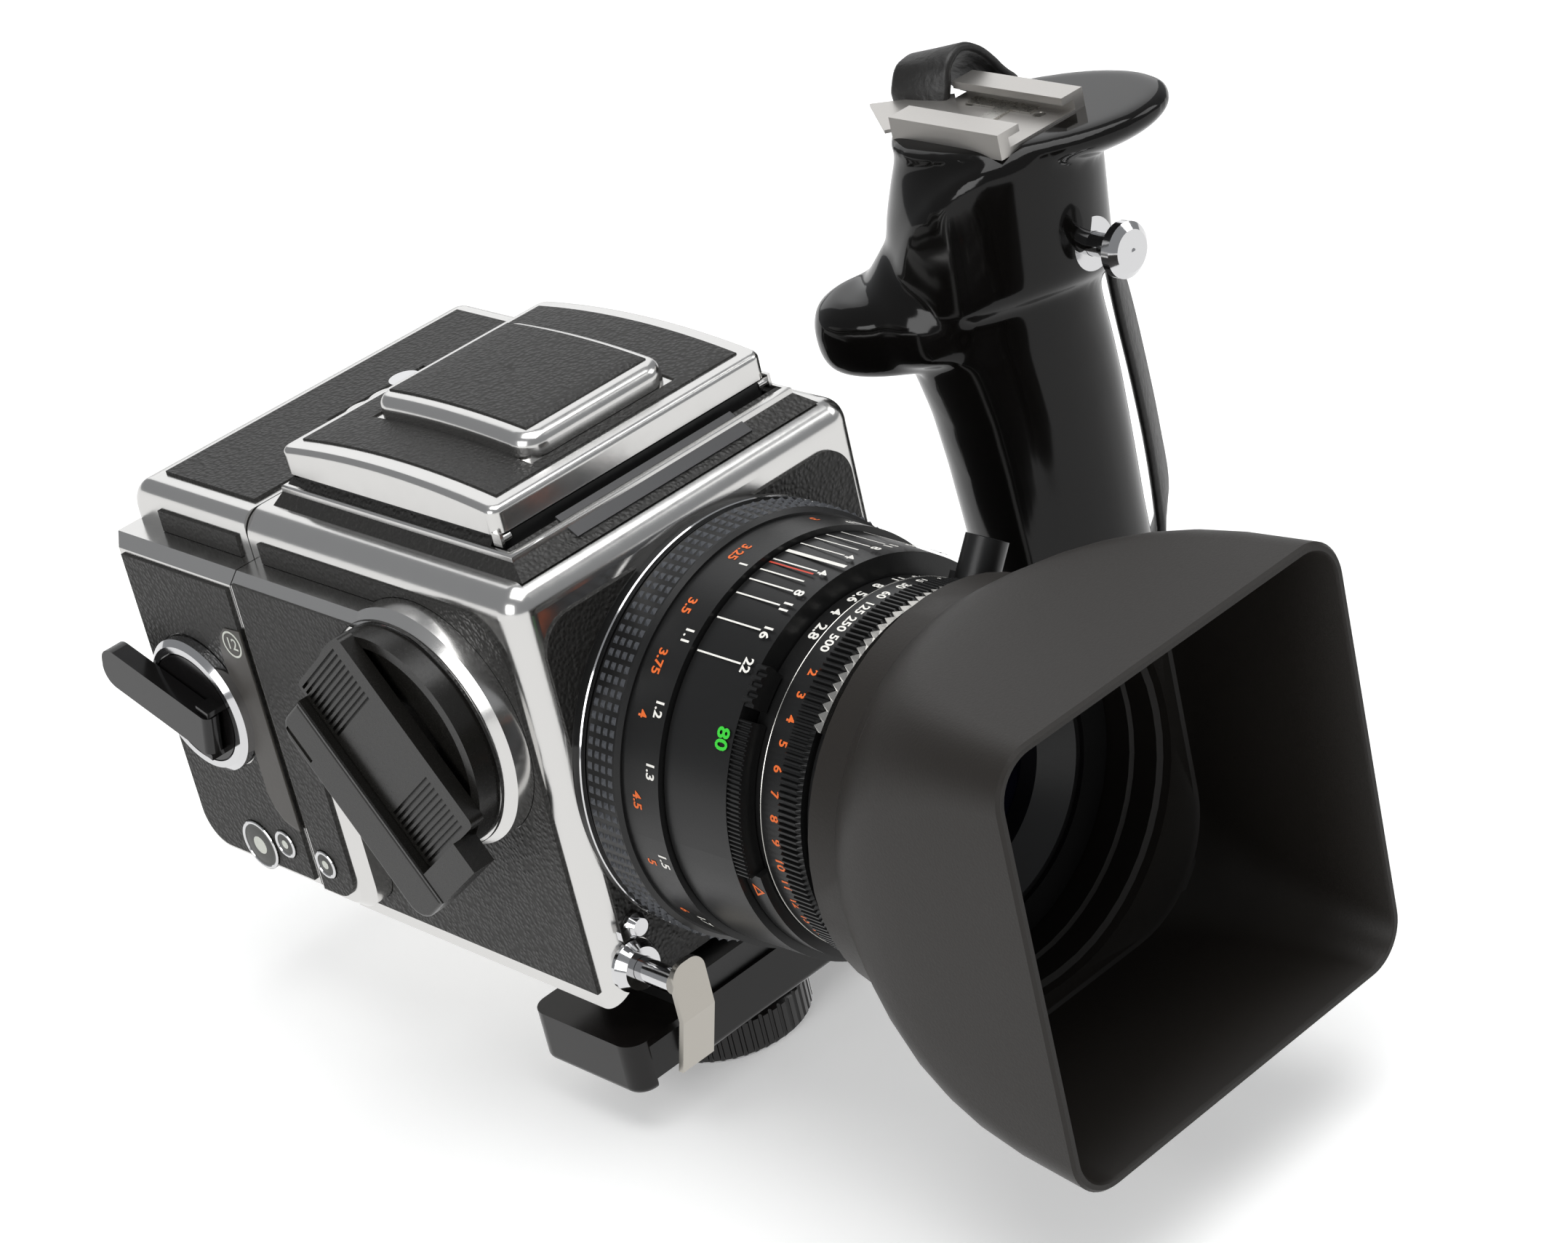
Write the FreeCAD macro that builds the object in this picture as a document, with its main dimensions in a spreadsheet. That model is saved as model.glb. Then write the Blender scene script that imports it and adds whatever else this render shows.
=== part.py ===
import FreeCAD
import Part
import Sketcher
import math
import os
import re
from FreeCAD import Vector

# A 6 x 6 roll film camera on a bracket with a side grip, in millimetres.
# +X points to the grip, -Y to the subject and +Z up. The origin is the tripod socket on the
# underside of the clamp wheel. Every place below is written from the camera's own corner point:
# x from the lens axis, y from the body's front face and z from the body's bottom.

SIZES = {
    # Body
    "body_width": 86.0,
    "body_height": 88.0,
    "body_depth": 79.4,
    "body_wall": 3.0,
    "body_edge_radius": 5.0,
    "front_reach": 14.0,
    "lens_offset": 10.0,
    "lens_height": 42.2,
    "leather_thick": 0.6,
    "leather_margin": 3.2,
    "platform_rise": 6.7,
    "platform_drop": 9.5,
    "platform_chamfer": 2.2,
    "lobe_bottom": 5.5,
    "lobe_back": 15.4,
    "lobe_top": 33.0,
    "lobe_radius": 6.0,
    "leather_radius": 2.0,
    "leather_gap": 0.1,
    "side_skin_radius": 11.0,
    "front_skin_radius": 7.0,
    "status_back": 4.7,
    "status_z": 15.3,
    "foot_x": -8.0,
    "foot_wall": 1.5,
    "mount_bore": 31.0,
    "screen_size": 57.0,
    "screen_front": 13.5,
    "mirror_box": 66.0,
    "box_wall": 1.5,
    "mirror_width": 58.0,
    "mirror_length": 64.0,
    "mirror_thick": 2.0,
    "mirror_angle": 44.0,
    "mirror_back": 10.4,
    "mirror_drop": 9.0,
    "mirror_pin_radius": 1.2,
    "door_back": 4.9,
    "door_thick": 1.2,
    "door_width": 58.0,
    "door_gap": 0.8,
    "door_pin_radius": 0.9,
    "upper_door_drop": 16.0,
    "lower_door_z": 12.4,
    "foot_thick": 5.0,
    "foot_width": 46.0,
    "gate_size": 57.0,
    "gap": 0.3,
    "fit_gap": 0.08,
    # Crank
    "crank_y": 30.0,
    "crank_z": 57.0,
    "crank_disc_radius": 22.5,
    "crank_disc_thick": 5.3,
    "crank_dish": 3.6,
    "crank_lever_offset": 11.8,
    "crank_lever_x": 5.6,
    "crank_pin_x": 8.1,
    "hinge_reach": 6.5,
    "crank_rim": 2.2,
    "crank_shaft_radius": 5.0,
    "crank_bar_length": 42.3,
    "crank_bar_width": 23.0,
    "crank_bar_thick": 3.0,
    "crank_bar_angle": 50.7,
    "crank_rib_count": 10,
    "crank_rib_pitch": 1.2,
    "crank_rib_depth": 0.8,
    "crank_bar_round": 1.5,
    "crank_lever_round": 4.5,
    "crank_lever_edge": 0.8,
    "crank_rib_left": 1.0,
    "crank_rib_right": 3.5,
    "crank_slot_length": 8.0,
    "crank_slot_width": 1.2,
    "crank_slot_inset": 1.6,
    "crank_lever_width": 11.0,
    "crank_lever_length": 46.0,
    "crank_lever_thick": 5.0,
    "crank_pin_radius": 1.5,
    # Release
    "release_x": -37.8,
    "release_z": 8.3,
    "collar_radius": 4.2,
    "collar_length": 3.0,
    "button_radius": 2.4,
    "button_length": 9.0,
    "arm_width": 8.0,
    "arm_thick": 1.2,
    "arm_drop": 20.5,
    "arm_inset": 1.6,
    "arm_rise": 1.2,
    "arm_bend": 8.0,
    "arm_lean": 4.2,
    "arm_round": 3.2,
    "release_lock_radius": 1.7,
    "lock_x": -36.0,
    "lock_z": 16.4,
    # Magazine
    "magazine_depth": 39.4,
    "magazine_bottom": 6.5,
    "magazine_round": 9.0,
    "magazine_wall": 2.2,
    "spool_radius": 11.5,
    "spool_core_radius": 6.0,
    "spool_flange": 1.0,
    "spool_length": 64.0,
    "film_thick": 0.4,
    "film_crank_back": 18.8,
    "film_crank_z": 46.0,
    "film_ring_radius": 14.5,
    "film_disc_radius": 11.6,
    "film_lever_length": 33.0,
    "film_lever_width": 9.0,
    "film_lever_thick": 4.0,
    "counter_radius": 4.6,
    "window_radius": 2.2,
    "window_rim": 0.9,
    "window_rise": 0.3,
    "dark_slide_thick": 0.5,
    "dark_slide_width": 62.0,
    "latch_travel": 4.0,
    "latch_x": 7.5,
    "latch_back": 28.8,
    "latch_radius": 3.2,
    "latch_plate_radius": 4.4,
    "latch_plate_half": 3.0,
    "latch_plate_rise": 1.2,
    "magazine_top_round": 7.0,
    "film_shaft_radius": 3.0,
    "film_ring_height": 3.6,
    "film_lever_back": 9.0,
    "film_pin_inset": 2.0,
    "film_pin_radius": 0.9,
    "film_lever_angle": 17.0,
    "counter_back": 21.9,
    "counter_z": 13.4,
    "film_window_back": 31.4,
    "film_window_z": 16.3,
    "insert_gap": 1.0,
    "insert_plate": 3.0,
    "spool_back": 15.8,
    "spool_low_z": 24.0,
    "spool_high_drop": 22.0,
    # Finder
    "finder_width": 66.0,
    "finder_front": 11.5,
    "finder_back": 5.4,
    "finder_base_height": 5.5,
    "skirt_front": 3.0,
    "skirt_side": 4.4,
    "skirt_back": 2.6,
    "skirt_height": 4.6,
    "lid_arch": 2.2,
    "flap_roll": 0.7,
    "finder_wall": 2.0,
    "lid_height": 5.0,
    "lid_edge_radius": 1.4,
    "dome_width": 36.0,
    "dome_front": 17.5,
    "dome_depth": 46.0,
    "dome_rise": 4.5,
    "dome_wall": 1.4,
    "dome_radius": 5.0,
    "flap_thick": 0.5,
    "flap_share": 0.384,
    "flap_floor": 1.6,
    "strip_thick": 0.4,
    "strip_low": 0.22,
    "strip_high": 0.84,
    "finder_radius": 2.5,
    "lid_over": 1.0,
    "hinge_y": 12.0,
    "hinge_drop": 1.1,
    "hinge_radius": 0.8,
    "dome_shift": 1.0,
    "loupe_y": 47.5,
    "loupe_thick": 3.0,
    "strip_width": 44.0,
    "magnifier_size": 26.0,
    "magnifier_radius": 10.5,
    # Lens
    "mount_radius": 40.3,
    "mount_length": 3.2,
    "focus_radius": 40.8,
    "focus_length": 9.0,
    "distance_radius": 39.5,
    "distance_length": 9.6,
    "depth_radius": 38.3,
    "depth_length": 15.4,
    "aperture_radius": 33.5,
    "aperture_length": 4.0,
    "shutter_radius": 34.2,
    "shutter_length": 10.6,
    "focus_core_radius": 36.0,
    "core_radius": 31.5,
    "barrel_bore": 27.0,
    "glass_curve": 60.0,
    "blade_inner_radius": 12.0,
    "slider_start": 185.0,
    "slider_sweep": 55.0,
    "sync_angle": 54.0,
    "hood_collar": 7.5,
    "hood_mid": 26.0,
    "hood_mid_width": 83.5,
    "hood_mid_corner": 27.0,
    "rim_length": 8.7,
    "front_rim_radius": 33.0,
    "glass_radius": 20.0,
    "slider_radius": 36.2,
    "sync_radius": 4.0,
    "sync_reach": 43.0,
    "saddle_width": 6.0,
    "saddle_thick": 2.5,
    "blade_count": 5,
    "blade_start": 26.0,
    "blade_step": 0.5,
    "blade_thick": 0.2,
    "blade_sweep": 100.0,
    "knurl_count": 72,
    "knurl_depth": 0.6,
    "hood_overlap": 3.5,
    "hood_length": 57.0,
    "hood_width": 86.0,
    "hood_height": 85.0,
    "hood_corner": 9.0,
    "hood_rear_radius": 38.2,
    "hood_wall": 1.8,
    # Bracket
    "bar_thick": 11.0,
    "bar_front": -4.0,
    "beam_round": 1.5,
    "bar_rear": 25.5,
    "bar_left": -46.0,
    "bar_right": 118.0,
    "bar_end_radius": 4.0,
    "spool_pin_radius": 3.0,
    "wheel_radius": 17.2,
    "wheel_height": 9.0,
    "wheel_rib_count": 48,
    "wheel_flute_radius": 0.55,
    "screw_radius": 3.1,
    "screw_length": 12.0,
    "socket_radius": 2.6,
    "socket_length": 7.0,
    # Grip
    "grip_x": 98.0,
    "grip_y": 10.0,
    "grip_half": 20.0,
    "shoe_width": 24.0,
    "shoe_length": 29.0,
    "shoe_floor": 119.0,
    "shoe_plate": 1.6,
    "shoe_slot": 18.6,
    "shoe_slot_height": 2.0,
    "shoe_rail": 1.5,
    "shoe_lip": 3.2,
    "shoe_x": 98.0,
    "shoe_y": 8.0,
    "plunger_x": 101.6,
    "plunger_reach": 19.0,
    "plunger_z": 94.0,
    "spring_radius": 3.2,
    "spring_length": 11.0,
    "spring_pitch": 2.2,
    "spring_wire": 0.35,
    "shoe_screw_radius": 1.2,
    "shoe_screw_x": 5.0,
    "shoe_screw_y": 9.0,
    "leaf_x": 6.0,
    "leaf_width": 3.2,
    "leaf_thick": 0.4,
    "strap_start": 14.3,
    "plunger_collar_radius": 5.4,
    "plunger_stem_radius": 2.4,
    "plunger_head_radius": 5.6,
    "plunger_stem_length": 8.5,
    "strap_width": 15.0,
    "strap_thick": 2.6,
}

# Places that keep their distance from an edge of the body, the magazine or the lens barrel.
PLACES = {
    "lobe_front": "body_depth - lobe_back",
    "status_y": "body_depth - status_back",
    "mirror_y": "body_depth - mirror_back",
    "mirror_z": "body_height - mirror_drop",
    "door_y": "body_depth - door_back",
    "upper_door_z": "body_height - upper_door_drop",
    "platform_top": "body_height - platform_drop",
    "magazine_end": "body_depth + magazine_depth",
    "film_crank_y": "magazine_end - film_crank_back",
    "counter_y": "magazine_end - counter_back",
    "film_window_y": "magazine_end - film_window_back",
    "spool_y": "magazine_end - spool_back",
    "spool_high_z": "body_height - spool_high_drop",
    "latch_y": "magazine_end - latch_back",
    "door_height": "(upper_door_z - lower_door_z)/2 - door_gap",
    "finder_depth": "body_depth - finder_front - finder_back",
    "flap_height": "finder_depth*flap_share",
    "scale_start": "mount_length + gap + focus_length",
    "depth_start": "scale_start + distance_length + gap",
    "aperture_start": "depth_start + depth_length + gap",
    "shutter_start": "aperture_start + aperture_length + gap",
    "collar_start": "shutter_start + shutter_length + gap",
    "barrel_length": "collar_start + rim_length",
    "hood_start": "barrel_length - hood_overlap",
}

DOC = FreeCAD.newDocument("FilmCamera")
SHEET = DOC.addObject("Spreadsheet::Sheet", "Sizes")
CELLS = {**SIZES, **{alias: f"={formula}" for alias, formula in PLACES.items()}}
for row, (alias, cell) in enumerate(CELLS.items(), 1):
    SHEET.set(f"A{row}", alias)
    SHEET.set(f"B{row}", str(cell))
    SHEET.setAlias(f"B{row}", alias)
    DOC.recompute()

BASE = "(wheel_height + bar_thick + foot_thick)"
ORIGIN = {"x": "lens_offset", "y": "-front_reach", "z": BASE}
PIECES = []


def text(formula):
    """A formula in the sheet's aliases, as the document reads it."""
    return re.sub(r"[a-z_]\w*", lambda m: "Sizes." + m[0] if m[0] in CELLS else m[0], str(formula))


def value(formula):
    """The same formula as a number."""
    names = {alias: SHEET.get(alias) for alias in CELLS}
    terms = re.sub(r"[a-z_]\w*", lambda m: repr(float(names[m[0]])), str(formula))
    return float(FreeCAD.Units.parseQuantity(terms).Value)


def place(thing, x="0", y="0", z="0"):
    """Put an object at a point that is given from the camera's corner point."""
    for axis, formula in zip("xyz", (x, y, z)):
        thing.setExpression(f"Placement.Base.{axis}", text(f"{ORIGIN[axis]} + ({formula})"))
    return thing


def point(x, y, z):
    """The same point as a vector in the part's frame."""
    return Vector(*(value(f"{ORIGIN[axis]} + ({formula})") for axis, formula in zip("xyz", (x, y, z))))


def box(name, x, y, z):
    """A box between three pairs of formulas."""
    thing = DOC.addObject("Part::Box", name)
    for side, (low, high) in zip(("Length", "Width", "Height"), (x, y, z)):
        thing.setExpression(side, text(f"({high}) - ({low})"))
    return place(thing, x[0], y[0], z[0])


TURNS = {"x": (Vector(0, 1, 0), 90), "y": (Vector(1, 0, 0), -90), "z": (Vector(0, 0, 1), 0)}


def rod(name, axis, radius, low, high, one, two, top=None):
    """A cylinder, or a cone with a top radius, along an axis from low to high."""
    thing = DOC.addObject("Part::Cone" if top else "Part::Cylinder", name)
    thing.setExpression("Height", text(f"({high}) - ({low})"))
    if top:
        thing.setExpression("Radius1", text(radius))
        thing.setExpression("Radius2", text(top))
    else:
        thing.setExpression("Radius", text(radius))
    thing.Placement = FreeCAD.Placement(Vector(), FreeCAD.Rotation(*TURNS[axis]))
    spot = [one, two]
    spot.insert("xyz".index(axis), low)
    return place(thing, *spot)


def fuse(name, *things):
    thing = DOC.addObject("Part::MultiFuse", name)
    thing.Shapes = list(things)
    return thing


def cut(name, base, *tools):
    thing = DOC.addObject("Part::Cut", name)
    thing.Base = base
    thing.Tool = tools[0] if len(tools) == 1 else fuse(name + "_cuts", *tools)
    return thing


def common(name, base, tool):
    thing = DOC.addObject("Part::Common", name)
    thing.Base = base
    thing.Tool = tool
    return thing


def rounded(name, base, radius, chosen, kind="Part::Fillet"):
    """Round the edges that a test on an edge's middle and direction picks."""
    DOC.recompute()
    size = value(radius)
    edges = []
    for number, edge in enumerate(base.Shape.Edges, 1):
        middle = edge.valueAt((edge.FirstParameter + edge.LastParameter) / 2)
        ends = edge.Vertexes[-1].Point - edge.Vertexes[0].Point
        if chosen(middle, ends):
            edges.append((number, size, size))
    thing = DOC.addObject(kind, name)
    thing.Base = base
    thing.Edges = edges
    return thing


def along(axis):
    """A test for straight edges that run along an axis."""
    index = "xyz".index(axis)
    return lambda middle, ends: ends.Length > 1e-6 and abs(ends[index]) > 0.999 * ends.Length


def at(axis, formula):
    """A test for edges that lie in a plane square to an axis."""
    index = "xyz".index(axis)
    level = value(f"{ORIGIN[axis]} + ({formula})")
    return lambda middle, ends: abs(middle[index] - level) < 1e-3 and abs(ends[index]) < 1e-3


def both(*tests):
    return lambda middle, ends: all(test(middle, ends) for test in tests)


def turned(name, axis, outline, x="0", y="0", z="0"):
    """A body turned about an axis through a point; the outline is (radius, distance) pairs."""
    body = DOC.addObject("PartDesign::Body", name + "_turning")
    plane = [f for f in body.Origin.OriginFeatures if f.Role == "XY_Plane"][0]
    sketch = body.newObject("Sketcher::SketchObject", name + "_outline")
    sketch.AttachmentSupport = [(plane, "")]
    sketch.MapMode = "FlatFace"
    corners = [Vector(value(r), value(d), 0) for r, d in outline]
    for number, corner in enumerate(corners):
        sketch.addGeometry(Part.LineSegment(corner, corners[(number + 1) % len(corners)]), False)
    for number, (radius, distance) in enumerate(outline):
        after = (number + 1) % len(outline)
        sketch.addConstraint(Sketcher.Constraint("Coincident", number, 2, after, 1))
        if radius == "0":
            sketch.addConstraint(Sketcher.Constraint("PointOnObject", number, 1, -2))
        else:
            index = sketch.addConstraint(
                Sketcher.Constraint("DistanceX", -1, 1, number, 1, corners[number].x))
            sketch.setExpression(f"Constraints[{index}]", text(radius))
        index = sketch.addConstraint(
            Sketcher.Constraint("DistanceY", -1, 1, number, 1, corners[number].y))
        sketch.setExpression(f"Constraints[{index}]", text(distance))
    turn = body.newObject("PartDesign::Revolution", name + "_turn")
    turn.Profile = sketch
    turn.ReferenceAxis = (sketch, ["V_Axis"])
    turn.Angle = 360
    body.Placement = FreeCAD.Placement(Vector(), FreeCAD.Rotation(*LATHE[axis]))
    return place(body, x, y, z)


LATHE = {"x": (Vector(0, 0, 1), -90), "-x": (Vector(0, 0, 1), 90), "y": (Vector(0, 0, 1), 0),
         "-y": (Vector(0, 0, 1), 180), "z": (Vector(1, 0, 0), 90)}


def shaped(name, shape):
    """A piece made with Part's own functions from the sheet's sizes."""
    thing = DOC.addObject("Part::Feature", name)
    thing.Shape = shape
    return thing


def piece(name, thing):
    """Name a finished sub-part."""
    thing.Label = name
    PIECES.append((name, thing))
    return thing


# Body shell: a cast box with a raised platform on the crank side, open to the lens, the
# magazine and the finder.
HALF = "body_width/2"
FACE = f"-{HALF} - platform_rise"
block = box("shell_block", (f"-{HALF}", HALF), ("0", "body_depth"), ("0", "body_height"))
block = rounded("shell_edges", block, "body_edge_radius", lambda middle, ends: (
    both(along("z"), at("y", "0"))(middle, ends) or both(along("x"), at("y", "0"))(middle, ends)
    or both(along("y"), at("z", "body_height"))(middle, ends)))


def platform(name, face, shrink):
    """The crank side platform: a disc round the crank, a band to the rear and a lower lobe."""
    side = (face, f"-{HALF} + 1")
    disc = rod(name + "_disc", "x", f"crank_disc_radius + 2 - {shrink}", *side, "crank_y", "crank_z")
    band = box(name + "_band", side, ("crank_y", f"body_depth - {shrink}"),
               (f"lobe_top + 3 + {shrink}", f"platform_top - {shrink}"))
    lobe = box(name + "_lobe", side, (f"lobe_front + {shrink}", f"body_depth - {shrink}"),
               (f"lobe_bottom + {shrink}", f"lobe_top + 10"))
    corner = both(along("x"), at("z", f"lobe_bottom + {shrink}"), at("y", f"lobe_front + {shrink}"))
    lobe = rounded(name + "_lobe_edges", lobe, "lobe_radius", corner)
    return fuse(name, disc, band, lobe)


raised = platform("raised", FACE, "0")
raised = rounded("raised_slope", raised, "platform_chamfer", lambda middle, ends: (
    abs(middle.x - point(FACE, "0", "0").x) < 1e-3 and middle.y < point("0", "body_depth", "0").y - 0.1),
    "Part::Chamfer")
shell = cut(
    "shell", fuse("shell_solid", block, raised),
    box("shell_room", (f"-{HALF} + body_wall", f"{HALF} - body_wall"),
        ("body_wall", "body_depth - body_wall"), ("body_wall", "body_height - body_wall")),
    rod("shell_mouth", "y", "mount_bore", "-1", "body_wall + 1", "0", "lens_height"),
    box("shell_gate", ("-gate_size/2", "gate_size/2"), ("body_depth - body_wall - 1", "body_depth + 1"),
        ("lens_height - gate_size/2", "lens_height + gate_size/2")),
    box("shell_top", ("-screen_size/2", "screen_size/2"), ("screen_front", "screen_front + screen_size"),
        ("body_height - body_wall - 1", "body_height + 1")),
    rod("shell_crank_hole", "x", "crank_shaft_radius + fit_gap", f"{FACE} - 1", f"-{HALF} + body_wall + 1",
        "crank_y", "crank_z"),
    rod("shell_release_hole", "y", "button_radius + fit_gap", "-1", "body_wall + 4", "release_x",
        "release_z"),
    rod("shell_mirror_pins", "x", "mirror_pin_radius + fit_gap", "-mirror_width/2 - 3", "mirror_width/2 + 3",
        "mirror_y", "mirror_z"))
piece("body_shell", shell)

# Leather panels glued to the shell: the front, the grip side, and the crank side round and on the
# platform.
panel = box("front_panel", (f"-{HALF} + leather_margin + 1", f"{HALF} - leather_margin - 1"),
            ("-leather_thick", "0"), ("leather_margin", "body_height - body_edge_radius - 2.5"))
panel = rounded("front_panel_edges", panel, "leather_radius", lambda middle, ends: (
    along("y")(middle, ends) and middle.z < value("lens_height")))
panel = rounded("front_panel_corners", panel, "front_skin_radius", lambda middle, ends: (
    along("y")(middle, ends) and middle.z > value("lens_height")))
front = cut(
    "front_skin", panel,
    rod("front_skin_mouth", "y", "mount_radius + 0.8", "-2", "1", "0", "lens_height"),
    rod("front_skin_release", "y", "collar_radius + 1.2", "-2", "1", "release_x", "release_z"))

SKIN_TOP = "body_height - body_edge_radius - leather_gap"
low = box("low_panel", (f"-{HALF} - leather_thick", f"-{HALF}"),
          ("leather_margin + 2", "body_depth - leather_margin"), ("leather_margin", SKIN_TOP))
low = rounded("low_panel_corner", low, "side_skin_radius",
              both(along("x"), at("y", "leather_margin + 2"), at("z", SKIN_TOP)))
low = cut("low_skin", low, platform("low_skin_room", f"{FACE} - leather_thick", "-leather_gap"))
face = platform("face_panel", f"{FACE} - leather_thick", "platform_chamfer + 0.9")
face = cut("face_skin", face,
           box("face_skin_back", (FACE, "0"), ("-1", "body_depth + 1"), ("-1", "body_height + 1")),
           rod("face_skin_hole", "x", "crank_disc_radius + 0.6", f"{FACE} - 2", "0", "crank_y", "crank_z"),
           rod("face_skin_window", "x", "window_radius + window_rim + leather_gap", f"{FACE} - 2", "0",
               "status_y", "status_z"))
panel = box("grip_panel", (HALF, f"{HALF} + leather_thick"), ("leather_margin + 2", "body_depth - 2"),
            ("leather_margin", "body_height - body_edge_radius - 2.5"))
panel = rounded("grip_panel_edges", panel, "leather_radius", along("x"))
piece("body_leather", fuse("body_skins", front, panel, low, face))
piece("status_window", rod("status_pane", "x", "window_radius + window_rim",
                           f"{FACE} - leather_thick - window_rise", FACE, "status_y", "status_z"))

# Quick coupling foot under the body.
piece("foot_plate", cut(
    "foot", box("foot_block", ("-foot_width/2 + foot_x", "foot_width/2 + foot_x"),
                ("bar_front + 1", "bar_rear - 1"), ("-foot_thick", "0")),
    rod("foot_thread", "z", "screw_radius + fit_gap", "-foot_thick - 1", "-foot_wall", "-lens_offset",
        "front_reach")))

# Lens mount: the bayonet ring screwed to the front.
piece("lens_mount", turned("mount", "-y", [
    ("mount_bore", "0"), ("mount_bore", "mount_length"), ("mount_radius", "mount_length"),
                                           ("mount_radius", "0")],
    z="lens_height"))

# Mirror box: a square tunnel from the mount to the gate, open above for the screen.
BOX_LOW = "lens_height - mirror_box/2"
tunnel = cut(
    "tunnel", box("tunnel_block", ("-mirror_box/2", "mirror_box/2"),
                  ("body_wall + gap", "body_depth - body_wall - gap"),
                  (BOX_LOW, "body_height - body_wall - gap")),
    box("tunnel_room", ("-mirror_box/2 + box_wall", "mirror_box/2 - box_wall"), ("0", "body_depth"),
        (f"{BOX_LOW} + box_wall", "body_height")),
    rod("tunnel_pins", "x", "mirror_pin_radius + fit_gap", "-mirror_box", "mirror_box", "mirror_y",
        "mirror_z"),
    rod("tunnel_upper_pins", "x", "door_pin_radius + fit_gap", "-mirror_box", "mirror_box", "door_y",
        "upper_door_z"),
    rod("tunnel_lower_pins", "x", "door_pin_radius + fit_gap", "-mirror_box", "mirror_box", "door_y",
        "lower_door_z"))
piece("mirror_box", tunnel)

# Focusing screen: ground glass in its frame, resting on the shell's top wall.
piece("focusing_screen", box(
    "screen", ("-screen_size/2 + gap", "screen_size/2 - gap"),
    ("screen_front + gap", "screen_front + screen_size - gap"), ("body_height - body_wall", "body_height")))

# Reflex mirror: a plate at 45 degrees on a pin along its upper rear edge.
reflex = fuse("reflex", box("reflex_plate", ("-mirror_width/2", "mirror_width/2"),
                            ("mirror_y - mirror_length", "mirror_y"),
                            ("mirror_z - mirror_thick/2", "mirror_z + mirror_thick/2")),
              rod("reflex_pin", "x", "mirror_pin_radius", "-mirror_box/2 + 0.1", "mirror_box/2 - 0.1",
                  "mirror_y", "mirror_z"))


def tilted(name, thing, degrees, y, z):
    """A copy of a piece turned about an X axis through a point, so that it rests at an angle."""
    DOC.recompute()
    shape = thing.Shape.copy()
    shape.rotate(point("0", y, z), Vector(1, 0, 0), degrees)
    return shaped(name, shape)


piece("mirror", tilted("mirror_at_rest", reflex, value("mirror_angle"), "mirror_y", "mirror_z"))
for side, pivot, reach in (("upper", "upper_door_z", "-door_height"),
                           ("lower", "lower_door_z", "door_height")):
    ends = sorted((pivot, f"{pivot} + ({reach})"), key=value)
    leaf = box(f"{side}_leaf", ("-door_width/2", "door_width/2"),
               ("door_y - door_thick/2", "door_y + door_thick/2"), ends)
    pin = rod(f"{side}_pin", "x", "door_pin_radius", "-mirror_box/2 + 0.1", "mirror_box/2 - 0.1", "door_y",
              pivot)
    piece(f"{side}_door", fuse(f"{side}_door_solid", leaf, pin))

# Release: collar, sprung button, lock lever and the bent arm that the grip's cable pulls.
piece("release_collar", turned("collar", "-y", [
    ("button_radius + fit_gap", "0"), ("collar_radius + 1", "0"), ("collar_radius + 1", "0.8"),
    ("collar_radius", "collar_length"), ("button_radius + fit_gap", "collar_length")],
    "release_x", "0", "release_z"))
piece("release_button", rod("button", "y", "button_radius", "-collar_length - button_length", "body_wall + 1",
                            "release_x", "release_z"))
ARM_BACK = "-collar_length - button_length"
ARM_X = ("release_x - arm_inset", "release_x - arm_inset + arm_width")
ARM_TOP = "release_z + button_radius + arm_rise"
ARM_BEND = "release_z - arm_bend"
ARM_LOW = "release_z - arm_drop"
arm = box("arm_plate", ARM_X, (f"{ARM_BACK} - arm_thick", ARM_BACK), (ARM_BEND, ARM_TOP))
arm = rounded("arm_top", arm, "arm_round", both(along("y"), at("z", ARM_TOP)))
bent = Part.makePolygon([point(ARM_X[0], y, z) for y, z in (
    (f"{ARM_BACK} - arm_thick", ARM_BEND), (ARM_BACK, ARM_BEND), (f"{ARM_BACK} + arm_lean", ARM_LOW),
    (f"{ARM_BACK} + arm_lean - arm_thick", ARM_LOW), (f"{ARM_BACK} - arm_thick", ARM_BEND))])
bent = shaped("arm_bent", Part.Face(bent).extrude(Vector(value("arm_width"), 0, 0)))
piece("release_arm", fuse("arm_parts", arm, bent))
lock = fuse("lock_parts",
            turned("lock", "-y", [("0", "0"), ("release_lock_radius + 0.8", "0"),
                                  ("release_lock_radius + 0.8", "1"),
                                  ("release_lock_radius", "2.4"), ("0", "2.4")], "lock_x", "-0.7", "lock_z"),
            box("lock_tab", ("lock_x - 4.2", "lock_x"), ("-2.4", "-1"), ("lock_z - 0.9", "lock_z + 0.9")))
piece("release_lock", lock)


# Folding finder: a frame on the body, light flaps on the frame and a lid hinged at the front.
TOP = "body_height"
REAR = "finder_front + finder_depth"
SIDE = "finder_width/2"
RIM = f"{TOP} + finder_base_height"
LID = f"{RIM} + gap"
HINGE_Z = f"{LID} - hinge_drop"
frame_block = box("finder_block", (f"-{SIDE}", SIDE), ("finder_front", REAR), (TOP, RIM))
frame_block = rounded("finder_edges", frame_block, "finder_radius", along("z"))
piece("finder_frame", cut(
    "finder", frame_block,
    box("finder_room", (f"-{SIDE} + finder_wall", f"{SIDE} - finder_wall"),
        ("finder_front + finder_wall", f"{REAR} - finder_wall"), (f"{TOP} - 1", f"{RIM} + 1")),
    rod("finder_hole_left", "x", "hinge_radius + fit_gap", f"-{SIDE} - 1", f"-{SIDE} + finder_wall - 0.1",
        "hinge_y", HINGE_Z),
    rod("finder_hole_right", "x", "hinge_radius + fit_gap", f"{SIDE} - finder_wall + 0.1", f"{SIDE} + 1",
        "hinge_y", HINGE_Z)))
lid = box("lid_block", (f"-{SIDE} - lid_over", f"{SIDE} + lid_over"), ("finder_front", f"{REAR} + lid_over"),
          (LID, f"{LID} + lid_height + lid_arch"))
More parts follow.
